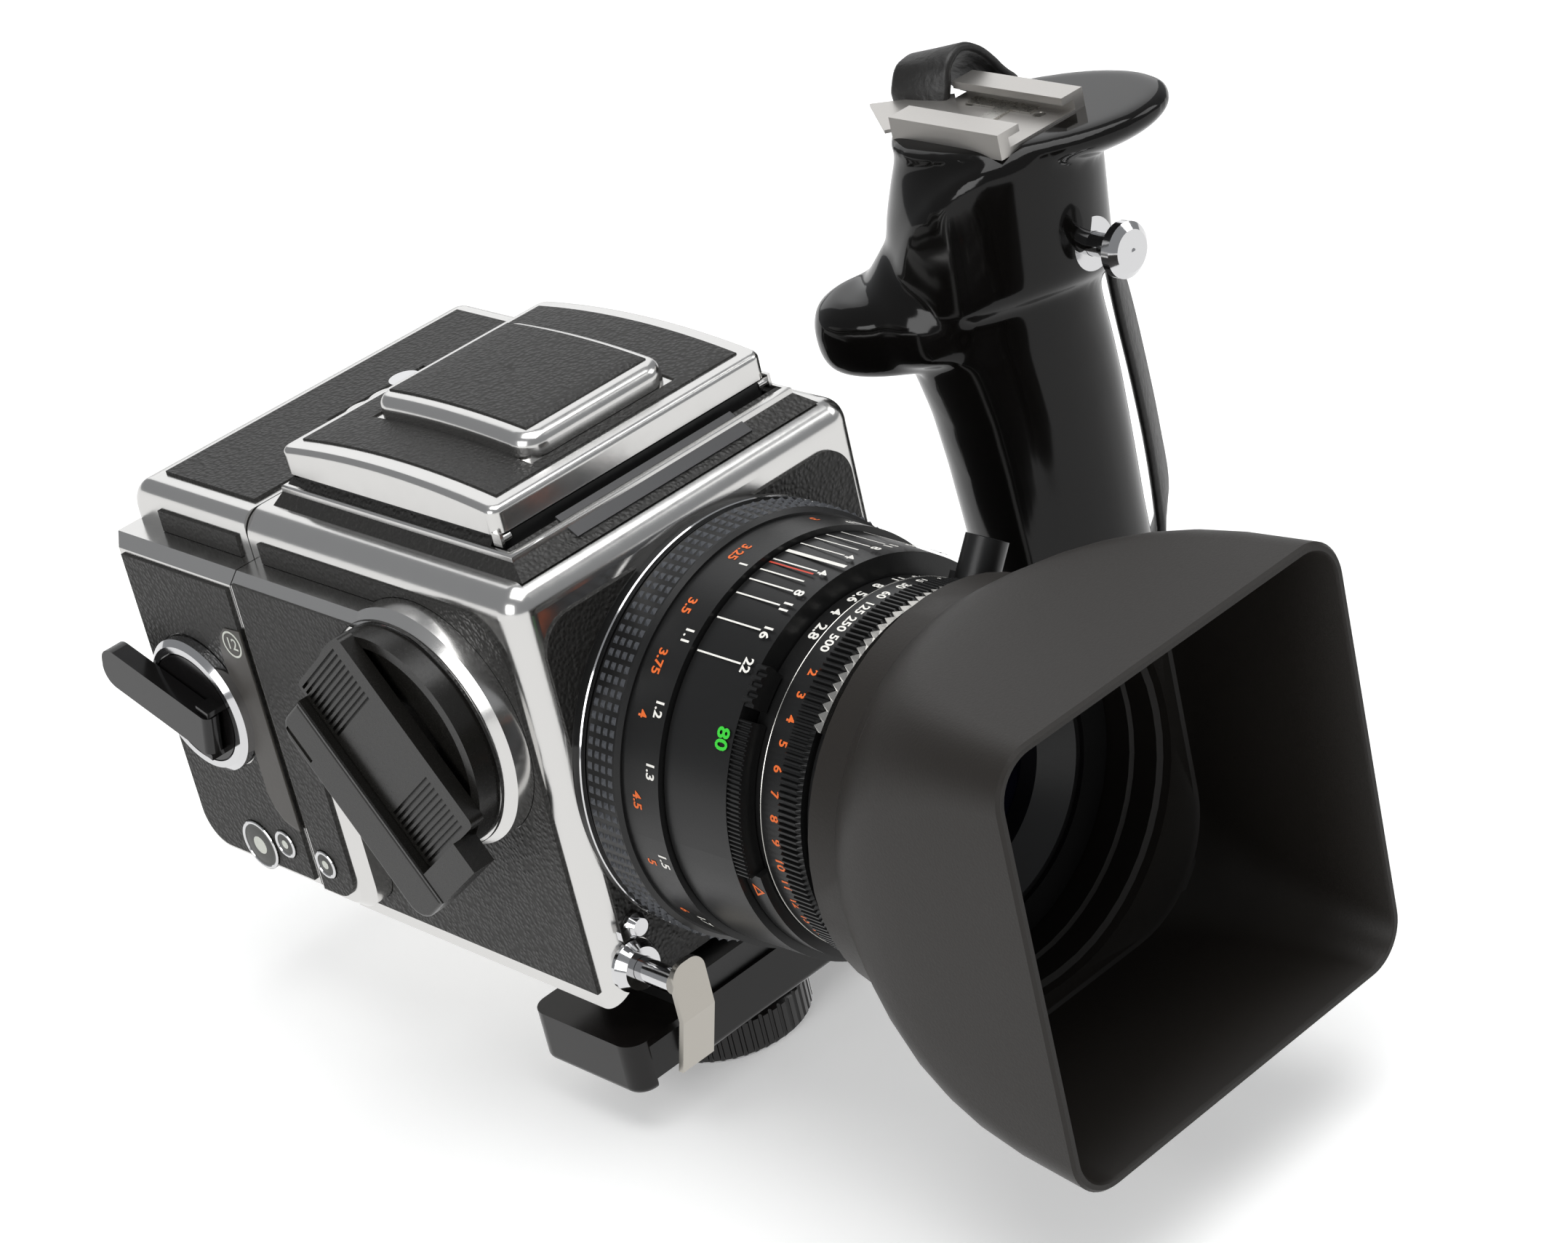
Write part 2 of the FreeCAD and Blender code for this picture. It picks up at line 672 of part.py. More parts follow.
lid = rounded("lid_corners", lid, "finder_radius", along("z"))
CHORD = "(finder_depth + lid_over)"
ARCH = f"({CHORD}*{CHORD}/(8*lid_arch) + lid_arch/2)"


def arched(name, thing, rise):
    """Keep what is under a large roll that lies across the finder, a height above the lid's own."""
    roll = rod(f"{name}_roll", "x", f"{ARCH} + {rise}", "-body_width", "body_width",
               f"finder_front + {CHORD}/2",
               f"{LID} + lid_height + lid_arch - {ARCH}")
    return common(name, thing, roll)


def above(formula):
    """A test for edges whose middle is above a height."""
    level = point("0", "0", formula).z
    return lambda middle, ends: middle.z > level


lid = rounded("lid_edges", arched("lid_arched", lid, "0"), "lid_edge_radius",
              above(f"{LID} + lid_height - 0.01"))
dome = box("dome_block", ("-dome_width/2 - dome_shift", "dome_width/2 - dome_shift"),
           ("dome_front", "dome_front + dome_depth"),
           (f"{LID} + lid_height/2", f"{LID} + lid_height + lid_arch + dome_rise + 1"))
dome = rounded("dome_corners", dome, "dome_radius", along("z"))
dome = rounded("dome_edges", arched("dome_arched", dome, "dome_rise"), "dome_radius*0.5",
               above(f"{LID} + lid_height + dome_rise - 0.01"))
lid = cut("lid_solid", fuse("lid_dome", lid, dome),
          box("lid_room", ("-dome_width/2 - dome_shift + 2", "dome_width/2 - dome_shift - 2"),
              ("dome_front + 2", "dome_front + dome_depth - 2"),
              (f"{LID} - 1", f"{LID} + lid_height + dome_rise - dome_wall")))
ears = []
for name, side in (("left", "-"), ("right", "")):
    inner = f"{side}({SIDE} - finder_wall + 0.2)"
    outer = f"{side}({SIDE} + lid_over)"
    ears.append(box(f"lid_ear_{name}", sorted((f"{side}({SIDE} + gap)", outer), key=value),
                    ("hinge_y - hinge_radius - 0.3", "hinge_y + hinge_radius + 0.5"),
                    (f"{HINGE_Z} - hinge_radius - 0.3", f"{LID} + 0.5")))
    ears.append(rod(f"lid_pin_{name}", "x", "hinge_radius", *sorted((inner, outer), key=value), "hinge_y",
                    HINGE_Z))
piece("finder_lid", fuse("lid_with_pins", lid, *ears))

# Magnifier: a lens in a frame that folds into the lid's dome.
LOUPE_Z = f"{LID} + 1.2"
LOUPE_PIN = ("loupe_y - magnifier_size/2 + 1.5", f"{LOUPE_Z} + loupe_thick/2")
loupe_pin = rod("loupe_pin", "x", "hinge_radius", "-dome_width/2 - dome_shift + 2.1",
                "dome_width/2 - dome_shift - 2.1", *LOUPE_PIN)
piece("magnifier_frame", cut(
    "loupe", fuse("loupe_with_pin", loupe_pin,
                  box("loupe_block", ("-magnifier_size/2 - dome_shift", "magnifier_size/2 - dome_shift"),
                 ("loupe_y - magnifier_size/2", "loupe_y + magnifier_size/2"),
                      (LOUPE_Z, f"{LOUPE_Z} + loupe_thick"))),
    rod("loupe_bore", "z", "magnifier_radius", f"{LOUPE_Z} - 1", f"{LOUPE_Z} + loupe_thick + 1",
        "-dome_shift", "loupe_y")))
piece("magnifier_lens", rod("loupe_glass", "z", "magnifier_radius", f"{LOUPE_Z} + 0.2",
                            f"{LOUPE_Z} + loupe_thick - 0.2",
                            "-dome_shift", "loupe_y"))

# Light flaps: thin sheets stacked under the lid, each hinged on its side of the frame.
FLAP_Z = f"{TOP} + flap_floor"
EDGE = "(finder_wall + gap + flap_roll)"
CORNERS = {
    "left": [(f"-{SIDE} + {EDGE}", f"finder_front + {EDGE} + 1"),
             (f"-{SIDE} + {EDGE}", f"{REAR} - {EDGE} - 0.5"),
             (f"-{SIDE} + {EDGE} + flap_height", f"{REAR} - {EDGE} - 0.5 - flap_height"),
             (f"-{SIDE} + {EDGE} + flap_height", f"finder_front + {EDGE} + 1 + flap_height")],
    "right": [(f"{SIDE} - {EDGE}", f"finder_front + {EDGE} + 1"),
              (f"{SIDE} - {EDGE}", f"{REAR} - {EDGE} - 0.5"),
              (f"{SIDE} - {EDGE} - flap_height", f"{REAR} - {EDGE} - 0.5 - flap_height"),
              (f"{SIDE} - {EDGE} - flap_height", f"finder_front + {EDGE} + 1 + flap_height")],
    "rear": [(f"-{SIDE} + {EDGE} + 0.5", f"{REAR} - {EDGE}"), (f"{SIDE} - {EDGE} - 0.5", f"{REAR} - {EDGE}"),
             (f"{SIDE} - {EDGE} - 0.5 - flap_height", f"{REAR} - {EDGE} - flap_height"),
             (f"-{SIDE} + {EDGE} + 0.5 + flap_height", f"{REAR} - {EDGE} - flap_height")],
}
ROLLS = {"left": ("y", f"-{SIDE} + {EDGE}"), "right": ("y", f"{SIDE} - {EDGE}"),
         "rear": ("x", f"{REAR} - {EDGE}")}
for name, corners in CORNERS.items():
    sheet = Part.makePolygon([point(x, y, FLAP_Z) for x, y in corners + corners[:1]])
    leaf = shaped(f"{name}_leaf", Part.Face(sheet).extrude(Vector(0, 0, value("flap_thick"))))
    axis, edge = ROLLS[name]
    low, high = [corner["xy".index(axis)] for corner in corners[:2]]
    piece(f"flap_{name}", fuse(f"{name}_flap", leaf, rod(
        f"{name}_roll", axis, "flap_roll", f"{low} + 4", f"{high} - 4", edge, f"{FLAP_Z} + flap_thick/2")))

# Leather skirt round the finder's foot, with a bare grey plate on its front slope.
FOOT_FRONT = ("skirt_front", TOP)
FOOT_REAR = (f"{REAR} + skirt_back", TOP)
RIDGE = f"{TOP} + skirt_height"
foot, ridge = [Part.makePolygon([point(x, y, z) for x, y in (
    (f"-{wide}", front), (wide, front), (wide, rear), (f"-{wide}", rear), (f"-{wide}", front))])
    for wide, front, rear, z in ((f"({SIDE} + skirt_side)", "skirt_front", FOOT_REAR[0], TOP),
                                 (f"({SIDE})", "finder_front", REAR, RIDGE))]
skirt = shaped("skirt_slopes", Part.makeLoft([foot, ridge], True, True))
piece("finder_skirt", cut("skirt", skirt, box(
    "skirt_room", (f"-{SIDE}", SIDE), ("finder_front", REAR), (f"{TOP} - 1", f"{RIDGE} + 1")), box(
        "skirt_notch", (f"-{SIDE} - lid_over - gap", f"{SIDE} + lid_over + gap"),
        ("hinge_y - hinge_radius - gap*5", "hinge_y + hinge_radius + gap*5"),
        (f"{HINGE_Z} - hinge_radius - gap*4", f"{RIDGE} + 1"))))
LOW = point("-strip_width/2", *FOOT_FRONT)
SLOPE = point("-strip_width/2", "finder_front", RIDGE) - LOW
OUT = Vector(0, -SLOPE.z, SLOPE.y).normalize() * value("strip_thick")
strip_low = LOW + SLOPE * value("strip_low")
strip_high = LOW + SLOPE * value("strip_high")
strip = Part.makePolygon([strip_low, strip_high, strip_high + OUT, strip_low + OUT, strip_low])
piece("name_strip", shaped("strip", Part.Face(strip).extrude(Vector(value("strip_width"), 0, 0))))

# Film magazine: a shell that hooks on the body's rear, open at the gate and on the grip side.
BACK = "body_depth + gap"
END = "body_depth + magazine_depth"
MAG_FACE = f"-{HALF} - platform_rise"
case = box("case_block", (f"-{HALF}", HALF), (BACK, END), ("magazine_bottom", TOP))
case = rounded("case_bottom", case, "magazine_round",
               both(along("x"), at("y", END), at("z", "magazine_bottom")))
case = rounded("case_top", case, "magazine_top_round", both(along("x"), at("y", END), at("z", TOP)))
case = rounded("case_sides", case, "body_edge_radius*0.6", both(along("z"), at("y", END)))
side = box("case_side", (MAG_FACE, f"-{HALF} + 1"), (BACK, END), ("magazine_bottom", "platform_top"))
side = rounded("case_side_round", side, "magazine_round",
               both(along("x"), at("y", END), at("z", "magazine_bottom")))
side = rounded("case_side_slope", side, "platform_chamfer", lambda middle, ends: (
    abs(middle.x - point(MAG_FACE, "0", "0").x) < 1e-3 and middle.y > point("0", BACK, "0").y + 0.1),
               "Part::Chamfer")
latch_plate = fuse("latch_plate", *[
    rod(f"latch_plate_{n}", "z", "latch_plate_radius", f"{TOP} - 0.5", f"{TOP} + latch_plate_rise", x,
        "latch_y")
    for n, x in enumerate(("-latch_plate_half", "latch_plate_half"))])
ROOM = (f"-{HALF} + magazine_wall", f"{HALF} + 1")
case = cut("case", fuse("case_solid", case, side, latch_plate),
           box("case_room", ROOM, (f"{BACK} + magazine_wall", f"{END} - magazine_wall"),
               ("magazine_bottom + magazine_wall", f"{TOP} - magazine_wall - 2")),
           box("case_gate", ("-gate_size/2", "gate_size/2"), (f"{BACK} - 1", f"{BACK} + magazine_wall + 1"),
               ("lens_height - gate_size/2", "lens_height + gate_size/2")),
           box("case_slide_slot", ("-dark_slide_width/2 - gap", f"{HALF} + 1"),
               (f"{BACK} + 0.6 - 0.1", f"{BACK} + 0.6 + dark_slide_thick + 0.1"),
               ("lens_height - dark_slide_width/2 - 0.2", "lens_height + dark_slide_width/2 + 0.2")),
           rod("case_crank_hole", "x", "film_shaft_radius + fit_gap", f"{MAG_FACE} - 1", f"-{HALF} + 5",
               "film_crank_y", "film_crank_z"),
           box("case_latch_slot", ("latch_x - 2.2", "latch_x + 2.2 + latch_travel"),
               ("latch_y - 1.6", "latch_y + 1.6"),
               (f"{TOP} - 5", f"{TOP} + 2")))
piece("magazine_shell", case)
panel = box("magazine_face", (f"{MAG_FACE} - leather_thick", MAG_FACE),
            (f"{BACK} + 1.2", f"{END} - platform_chamfer - 1"),
            ("magazine_bottom + platform_chamfer + 1", "platform_top - platform_chamfer - 1"))
panel = rounded("magazine_face_round", panel, "magazine_round - platform_chamfer",
                both(along("x"), at("y", f"{END} - platform_chamfer - 1"),
                     at("z", "magazine_bottom + platform_chamfer + 1")))
panel = cut("magazine_face_skin", panel,
            rod("magazine_face_crank", "x", "film_ring_radius + 0.3", f"{MAG_FACE} - 2", "0",
                "film_crank_y", "film_crank_z"),
            rod("magazine_face_counter", "x", "counter_radius + window_rim + leather_gap",
                f"{MAG_FACE} - 2", "0", "counter_y", "counter_z"),
            rod("magazine_face_window", "x", "window_radius + window_rim + leather_gap", f"{MAG_FACE} - 2",
                "0", "film_window_y", "film_window_z"))
back_panel = box("magazine_back", (f"-{HALF} + 5", f"{HALF} - 5"), (END, f"{END} + leather_thick"),
                 ("magazine_bottom + magazine_round + 1", f"{TOP} - magazine_top_round - 1"))
top_panel = box("magazine_top", (f"-{HALF} + 5", f"{HALF} - 5"),
                (f"{BACK} + 2", f"{END} - magazine_top_round - 1"),
                (TOP, f"{TOP} + leather_thick"))
top_panel = cut("magazine_top_skin", top_panel,
                box("magazine_top_latch", ("-9", "latch_x + 9"), ("latch_y - 6", "latch_y + 6"),
                                                    (f"{TOP} - 1", f"{TOP} + 2")))
strip = box("magazine_strip", (f"-{HALF} - leather_thick", f"-{HALF}"),
            (f"{BACK} + leather_margin", f"{END} - magazine_top_round - leather_margin"),
            ("platform_top + leather_gap", f"{TOP} - body_edge_radius + leather_gap"))
piece("magazine_leather", fuse("magazine_skins", panel, back_panel, top_panel, strip))
piece("magazine_latch", fuse(
    "latch", rod("latch_knob", "z", "latch_radius", f"{TOP} + 1.3", f"{TOP} + 3.2", "latch_x", "latch_y"),
    box("latch_stem", ("latch_x - 2", "latch_x + 2"), ("latch_y - 1.5", "latch_y + 1.5"),
        (f"{TOP} - 5", f"{TOP} + 1.5"))))

# Film insert: the frame that carries both spools, slid in from the grip side.
INSERT_Y = (f"{BACK} + magazine_wall + insert_gap", f"{END} - magazine_wall - gap")
INSERT_Z = ("magazine_bottom + magazine_wall + gap", f"{TOP} - magazine_wall - 2 - gap")
INSERT_X = (f"-{HALF} + magazine_wall + gap", HALF)
insert = cut(
    "insert", box("insert_block", INSERT_X, INSERT_Y, INSERT_Z),
    box("insert_room", (f"{INSERT_X[0]} + 2", f"{HALF} - insert_plate"),
        (f"{INSERT_Y[0]} - 1", f"{INSERT_Y[1]} + 1"),
        (f"{INSERT_Z[0]} - 1", f"{INSERT_Z[1]} + 1")))
post = box("insert_post", (f"{INSERT_X[0]} + 1", f"{HALF} - 1"),
           ("spool_y + spool_radius*0.7", f"{INSERT_Y[1]}"),
           ("lens_height - 3", "lens_height + 3"))
holders = [rod(f"insert_pin_{n}", "x", "spool_pin_radius", *ends, "spool_y", z) for n, (z, ends) in enumerate(
    (z, ends) for z in ("spool_low_z", "spool_high_z") for ends in (
        (f"{INSERT_X[0]} + 1", "-spool_length/2 + 4"), ("spool_length/2 - 4", f"{HALF} - 1")))]
bar = box("insert_bar", (f"{INSERT_X[0]} + 1", f"{HALF} - 1"),
          (f"{INSERT_Y[0]} + 2.45", f"{INSERT_Y[0]} + 5"),
          ("lens_height - 3", "lens_height + 3"))
piece("film_insert", fuse("insert_frame", insert, bar, post, *holders))
piece("pressure_plate", box("pressure", ("-gate_size/2 - 1", "gate_size/2 + 1"),
                            (f"{INSERT_Y[0]} + 1.2", f"{INSERT_Y[0]} + 2.4"),
                            ("lens_height - gate_size/2 + 4", "lens_height + gate_size/2 - 4")))
for name, z in (("supply", "spool_low_z"), ("takeup", "spool_high_z")):
    spool = fuse(f"{name}_parts",
                 rod(f"{name}_core", "x", "spool_core_radius", "-spool_length/2", "spool_length/2",
                     "spool_y", z),
                 rod(f"{name}_flange_1", "x", "spool_radius", "-spool_length/2 - spool_flange",
                     "-spool_length/2", "spool_y", z),
                 rod(f"{name}_flange_2", "x", "spool_radius", "spool_length/2",
                     "spool_length/2 + spool_flange", "spool_y", z))
    bores = [rod(f"{name}_bore_{n}", "x", "spool_pin_radius + fit_gap", *ends, "spool_y", z)
             for n, ends in enumerate((("-spool_length/2 - 2", "-spool_length/2 + 5"),
                                       ("spool_length/2 - 5", "spool_length/2 + 2")))]
    piece(f"{name}_spool", cut(f"{name}_spool_bored", spool, *bores))
wound = [cut(f"film_roll_{n}", rod(f"film_roll_{n}_outer", "x", radius, "-spool_length/2 + 0.3",
                                   "spool_length/2 - 0.3",
                                   "spool_y", z),
             rod(f"film_roll_{n}_core", "x", "spool_core_radius + 0.1", "-spool_length", "spool_length",
                 "spool_y", z))
         for n, (z, radius) in enumerate((("spool_low_z", "spool_radius - 0.6"),
                                          ("spool_high_z", "spool_radius - 3")))]
strand = box("film_strand", ("-spool_length/2 + 0.3", "spool_length/2 - 0.3"),
             (f"{INSERT_Y[0]} + 0.5", f"{INSERT_Y[0]} + 0.5 + film_thick"),
             ("spool_low_z", "spool_high_z"))
piece("film", fuse("film_solid", *wound, strand))
piece("dark_slide", fuse(
    "slide", box("slide_sheet", ("-dark_slide_width/2", f"{HALF} + 1"),
                 (f"{BACK} + 0.6", f"{BACK} + 0.6 + dark_slide_thick"),
                 ("lens_height - dark_slide_width/2", "lens_height + dark_slide_width/2")),
    box("slide_pull", (f"{HALF} + 0.6 + gap", f"{HALF} + 9"),
        (f"{BACK} + 0.1", f"{BACK} + 0.9 + dark_slide_thick"),
        ("lens_height - 14", "lens_height + 14"))))

# Film crank: a chrome ring, a disc on the insert's shaft and a lever that folds flat on it.
piece("film_crank_ring", turned("film_ring", "-x", [
    ("film_disc_radius + gap", "0"), ("film_ring_radius", "0"), ("film_ring_radius", "film_ring_height - 1"),
    ("film_ring_radius - 1.2", "film_ring_height"), ("film_disc_radius + gap", "film_ring_height")],
    MAG_FACE, "film_crank_y", "film_crank_z"))
SHAFT_END = "-platform_rise - magazine_wall"
knob = turned("film_knob", "-x", [
    ("0", SHAFT_END), ("film_shaft_radius", SHAFT_END), ("film_shaft_radius", "gap"),
                                  ("film_disc_radius", "gap"),
    ("film_disc_radius", "film_ring_height"), ("0", "film_ring_height")], MAG_FACE, "film_crank_y",
              "film_crank_z")
KNOB = f"{MAG_FACE} - film_ring_height"
HUB_Y = "film_crank_y - film_lever_back + film_pin_inset"
HUB_X = f"{KNOB} - gap - film_lever_thick/2"
WIDE = "film_lever_width/2"
ears = [box(f"film_ear_{n}", (f"{KNOB} - gap - film_lever_thick + 0.6", f"{KNOB} + 0.2"),
            (f"{HUB_Y} - 1.8", f"{HUB_Y} + 1.8"), side)
        for n, side in enumerate(((f"film_crank_z - {WIDE} - 1.5", f"film_crank_z - {WIDE} - 0.2"),
                                  (f"film_crank_z + {WIDE} + 0.2", f"film_crank_z + {WIDE} + 1.5")))]
pin = rod("film_pin", "z", "film_pin_radius", f"film_crank_z - {WIDE} - 0.5",
          f"film_crank_z + {WIDE} + 0.5", HUB_X, HUB_Y)
ears = tilted("film_ears_at_rest", fuse("film_ears", pin, *ears), value("film_lever_angle"), "film_crank_y",
              "film_crank_z")
piece("film_crank_disc", fuse("film_disc", knob, ears))
lever = box("film_lever_block", (f"{KNOB} - gap - film_lever_thick", f"{KNOB} - gap"),
            ("film_crank_y - film_lever_back", "film_crank_y - film_lever_back + film_lever_length"),
            (f"film_crank_z - {WIDE}", f"film_crank_z + {WIDE}"))
lever = rounded("film_lever_ends", lever, "film_lever_width*0.42", both(along("x"), lambda middle, ends: (
    middle.y > point("0", "film_crank_y", "0").y)))
lever = rounded("film_lever_heel", lever, "film_lever_thick*0.4", both(along("z"), lambda middle, ends: (
    middle.y < point("0", "film_crank_y", "0").y)))
lever = cut("film_lever_bored", lever, rod(
    "film_lever_bore", "z", "film_pin_radius + fit_gap", f"film_crank_z - {WIDE} - 1",
                                           f"film_crank_z + {WIDE} + 1", HUB_X, HUB_Y))
piece("film_crank_lever", tilted("film_lever_at_rest", lever, value("film_lever_angle"), "film_crank_y",
                                 "film_crank_z"))
panes = []
for n, (y, z, radius) in enumerate((("film_window_y", "film_window_z", "window_radius"),
                                    ("counter_y", "counter_z", "counter_radius"))):
    panes.append(rod(f"window_{n}", "x", f"{radius} + window_rim",
                     f"{MAG_FACE} - leather_thick - window_rise", MAG_FACE, y, z))
piece("windows", fuse("window_set", *panes))


# Winding crank: a dished disc with its shaft, a ribbed bar and a lever folded beside the bar.
piece("winding_disc", turned("winder", "-x", [
    ("0", "-12"), ("crank_shaft_radius", "-12"), ("crank_shaft_radius", "gap"), ("crank_disc_radius", "gap"),
    ("crank_disc_radius", "crank_disc_thick"), ("crank_disc_radius - crank_rim", "crank_disc_thick"),
    ("crank_disc_radius - crank_rim - 1", "crank_dish"), ("0", "crank_dish")], FACE, "crank_y", "crank_z"))


def on_crank(x, y, z):
    """A range of a box in the bar's own frame, whose long side is along Y before it is turned."""
    return ([f"{FACE} - ({edge})" for edge in x[::-1]], [f"crank_y + ({edge})" for edge in y],
            [f"crank_z + ({edge})" for edge in z])


BAR_LOW = "crank_disc_thick + 0.02"
BAR_TOP = "crank_disc_thick + crank_bar_thick"
bar = box("bar_block", *on_crank((BAR_LOW, BAR_TOP), ("-crank_bar_length/2", "crank_bar_length/2"),
                                 ("-crank_bar_width/2", "crank_bar_width/2")))
bar = rounded("bar_corners", bar, "crank_bar_round", along("x"))
grooves = []
for number in range(int(value("crank_rib_count"))):
    for sign, end in (("-", "low"), ("", "high")):
        middle = f"{sign}(crank_bar_length/2 - 1.4 - crank_rib_pitch*{number})"
        grooves.append(box(f"bar_groove_{end}_{number}", *on_crank(
            (f"{BAR_TOP} - crank_rib_depth", f"{BAR_TOP} + 1"),
                                                                   (f"{middle} - crank_rib_pitch/4",
                                                                    f"{middle} + crank_rib_pitch/4"),
            ("-crank_bar_width/2 + crank_rib_left", "crank_bar_width/2 - crank_rib_right"))))
bar = cut("bar_ribs", bar, *grooves)
HINGE = ("-crank_bar_length/2 - hinge_reach", "-crank_bar_length/2 - 0.02")
AXIS_Y = "-crank_bar_length/2 - hinge_reach/2"
LEVER_IN = "-crank_lever_offset"
boss = rod("bar_boss", "x", "crank_bar_width/2 - 1", f"{FACE} - ({BAR_LOW}) - 0.5", f"{FACE} - crank_dish",
           "crank_y", "crank_z")
hinge = box("bar_hinge", *on_crank((BAR_LOW, "crank_lever_x + crank_lever_thick - 0.4"), HINGE,
                                   (f"{LEVER_IN} + gap", "5")))
bridge = box("bar_bridge", *on_crank((BAR_LOW, f"{BAR_TOP} - 1"),
                                     ("-crank_bar_length/2 - 0.5", "-crank_bar_length/2 + 0.5"),
                                     (f"{LEVER_IN} + gap + 0.5", "4")))
pin = rod("bar_pin", "z", "crank_pin_radius", f"crank_z + {LEVER_IN} - crank_lever_width + 2",
          f"crank_z + {LEVER_IN} + gap + 1",
          f"{FACE} - crank_pin_x", f"crank_y + {AXIS_Y}")
bar = fuse("bar_with_hinge", bar, boss, hinge, bridge, pin)
piece("winding_bar", tilted("bar_at_rest", bar, value("crank_bar_angle"), "crank_y", "crank_z"))
LEVER_END = f"{HINGE[0]} + crank_lever_length"
lever = box("crank_lever_block", *on_crank(
    ("crank_lever_x", "crank_lever_x + crank_lever_thick"), (HINGE[0], LEVER_END),
    (f"{LEVER_IN} - crank_lever_width", LEVER_IN)))
lever = rounded("crank_lever_tip", lever, "crank_lever_round", lambda middle, ends: (
    along("x")(middle, ends) and middle.z < point("0", "0",
                                                  f"crank_z + {LEVER_IN} - crank_lever_width + 1").z))
lever = rounded("crank_lever_soft", lever, "crank_lever_edge", lambda middle, ends: abs(
    middle.x - point(f"{FACE} - crank_lever_x - crank_lever_thick", "0", "0").x) < 1e-3)
SLOT_LOW = f"{LEVER_IN} - crank_lever_width + crank_slot_inset"
lever = cut("crank_lever_bored", lever, rod(
    "crank_lever_bore", "z", "crank_pin_radius + fit_gap", f"crank_z + {LEVER_IN} - crank_lever_width + 1.7",
    f"crank_z + {LEVER_IN} + 1", f"{FACE} - crank_pin_x", f"crank_y + {AXIS_Y}"), box(
        "crank_lever_slot", *on_crank(("crank_lever_x - 1", "crank_lever_x + crank_lever_thick + 1"), (
            f"{LEVER_END} - crank_slot_inset - crank_slot_length", f"{LEVER_END} - crank_slot_inset"),
            (SLOT_LOW, f"{SLOT_LOW} + crank_slot_width"))))
piece("winding_lever", tilted("crank_lever_at_rest", lever, value("crank_bar_angle"), "crank_y", "crank_z"))

# Lens: a barrel in the mount with rings that turn on it, glass at both ends and a square hood.
FOCUS = "mount_length + gap"
SCALE = "scale_start"
DEPTH = "depth_start"
APERTURE = "aperture_start"
SHUTTER = "shutter_start"
COLLAR = "collar_start"
barrel = turned("barrel", "-y", [
    ("glass_radius + 0.05", "-1"), ("mount_bore - fit_gap", "-1"), ("mount_bore - fit_gap", "mount_length"),
    ("focus_core_radius", "mount_length"), ("focus_core_radius", f"{DEPTH}"), ("depth_radius", f"{DEPTH}"),
    ("depth_radius - 0.6", f"{DEPTH} + depth_length"), ("core_radius", f"{DEPTH} + depth_length"),
    ("core_radius", COLLAR), ("front_rim_radius", COLLAR), ("front_rim_radius", "barrel_length"),
    ("barrel_bore", "barrel_length"), ("barrel_bore", "6"), ("glass_radius + 0.05", "6")], z="lens_height")
piece("lens_barrel", barrel)
knurled = turned("focus", "-y", [
    ("focus_core_radius + 0.1", FOCUS), ("focus_radius - 0.8", FOCUS), ("focus_radius", f"{FOCUS} + 0.8"),
    ("focus_radius", f"{FOCUS} + focus_length - 0.8"), ("focus_radius - 0.8", SCALE),
    ("distance_radius", SCALE), ("distance_radius", f"{SCALE} + distance_length"),
    ("focus_core_radius + 0.1", f"{SCALE} + distance_length")], z="lens_height")
piece("focus_ring", knurled)
piece("aperture_ring", turned("aperture", "-y", [
    ("core_radius + 0.1", APERTURE), ("aperture_radius", APERTURE),
    ("aperture_radius", f"{APERTURE} + aperture_length"),
                                                 ("core_radius + 0.1", f"{APERTURE} + aperture_length")],
    z="lens_height"))


def toothed(name, thing, radius, low, high, count, depth):
    """Cut a ring of shallow grooves round the lens, as on a knurled ring."""
    DOC.recompute()
    centre = point("0", f"-({low})", "lens_height")
    length = value(f"({high}) - ({low})")
    tooth = math.pi * value(radius) / value(count)
    wedge = Part.makePolygon([Vector(-tooth / 2, 0, value(radius) + 0.5),
                              Vector(tooth / 2, 0, value(radius) + 0.5),
                              Vector(0, 0, value(f"{radius} - {depth}")),
                              Vector(-tooth / 2, 0, value(radius) + 0.5)])
    wedge = Part.Face(wedge).extrude(Vector(0, -length, 0))
    wedges = []
    for number in range(int(value(count))):
        one = wedge.copy()
        one.rotate(Vector(), Vector(0, 1, 0), number * 360 / value(count))
        one.translate(centre)
        wedges.append(one)
    return shaped(name, thing.Shape.cut(Part.Compound(wedges)))


speed = turned("shutter", "-y", [
    ("core_radius + 0.1", SHUTTER), ("aperture_radius", SHUTTER),
                                 ("shutter_radius", f"{SHUTTER} + shutter_length*0.5"),
    ("shutter_radius", f"{SHUTTER} + shutter_length"), ("core_radius + 0.1", f"{SHUTTER} + shutter_length")],
    z="lens_height")
piece("shutter_ring", toothed("shutter_teeth", speed, "shutter_radius", f"{SHUTTER} + shutter_length*0.5",
                              f"{SHUTTER} + shutter_length + 1", "knurl_count", "knurl_depth"))


def arc_piece(name, inner, outer, low, high, start, sweep):
    """A length of a ring round the lens axis, from a start angle (0 is +X, 90 is +Z)."""
    ring = [Part.makeCylinder(value(radius), value(f"({high}) - ({low})"),
                              point("0", f"-({low})", "lens_height"),
                              Vector(0, -1, 0), value(sweep)) for radius in (outer, inner)]
    solid = ring[0].cut(ring[1])
    turn = value(start) - math.degrees(math.atan2(*reversed(first_edge(solid, low))))
    solid.rotate(point("0", f"-({low})", "lens_height"), Vector(0, -1, 0), turn)
    return shaped(name, solid)


def first_edge(solid, low):
    """Direction, as (x, z), of the corner where a ring piece starts when turned about -Y."""
    centre = point("0", f"-({low})", "lens_height")
    angles = sorted(math.atan2(v.Point.z - centre.z,
                               v.Point.x - centre.x) % (2 * math.pi) for v in solid.Vertexes)
    gaps = [((b - a) % (2 * math.pi), b) for a, b in zip(angles[-1:] + angles[:-1], angles)]
    start = max(gaps)[1]
    return math.cos(start), math.sin(start)


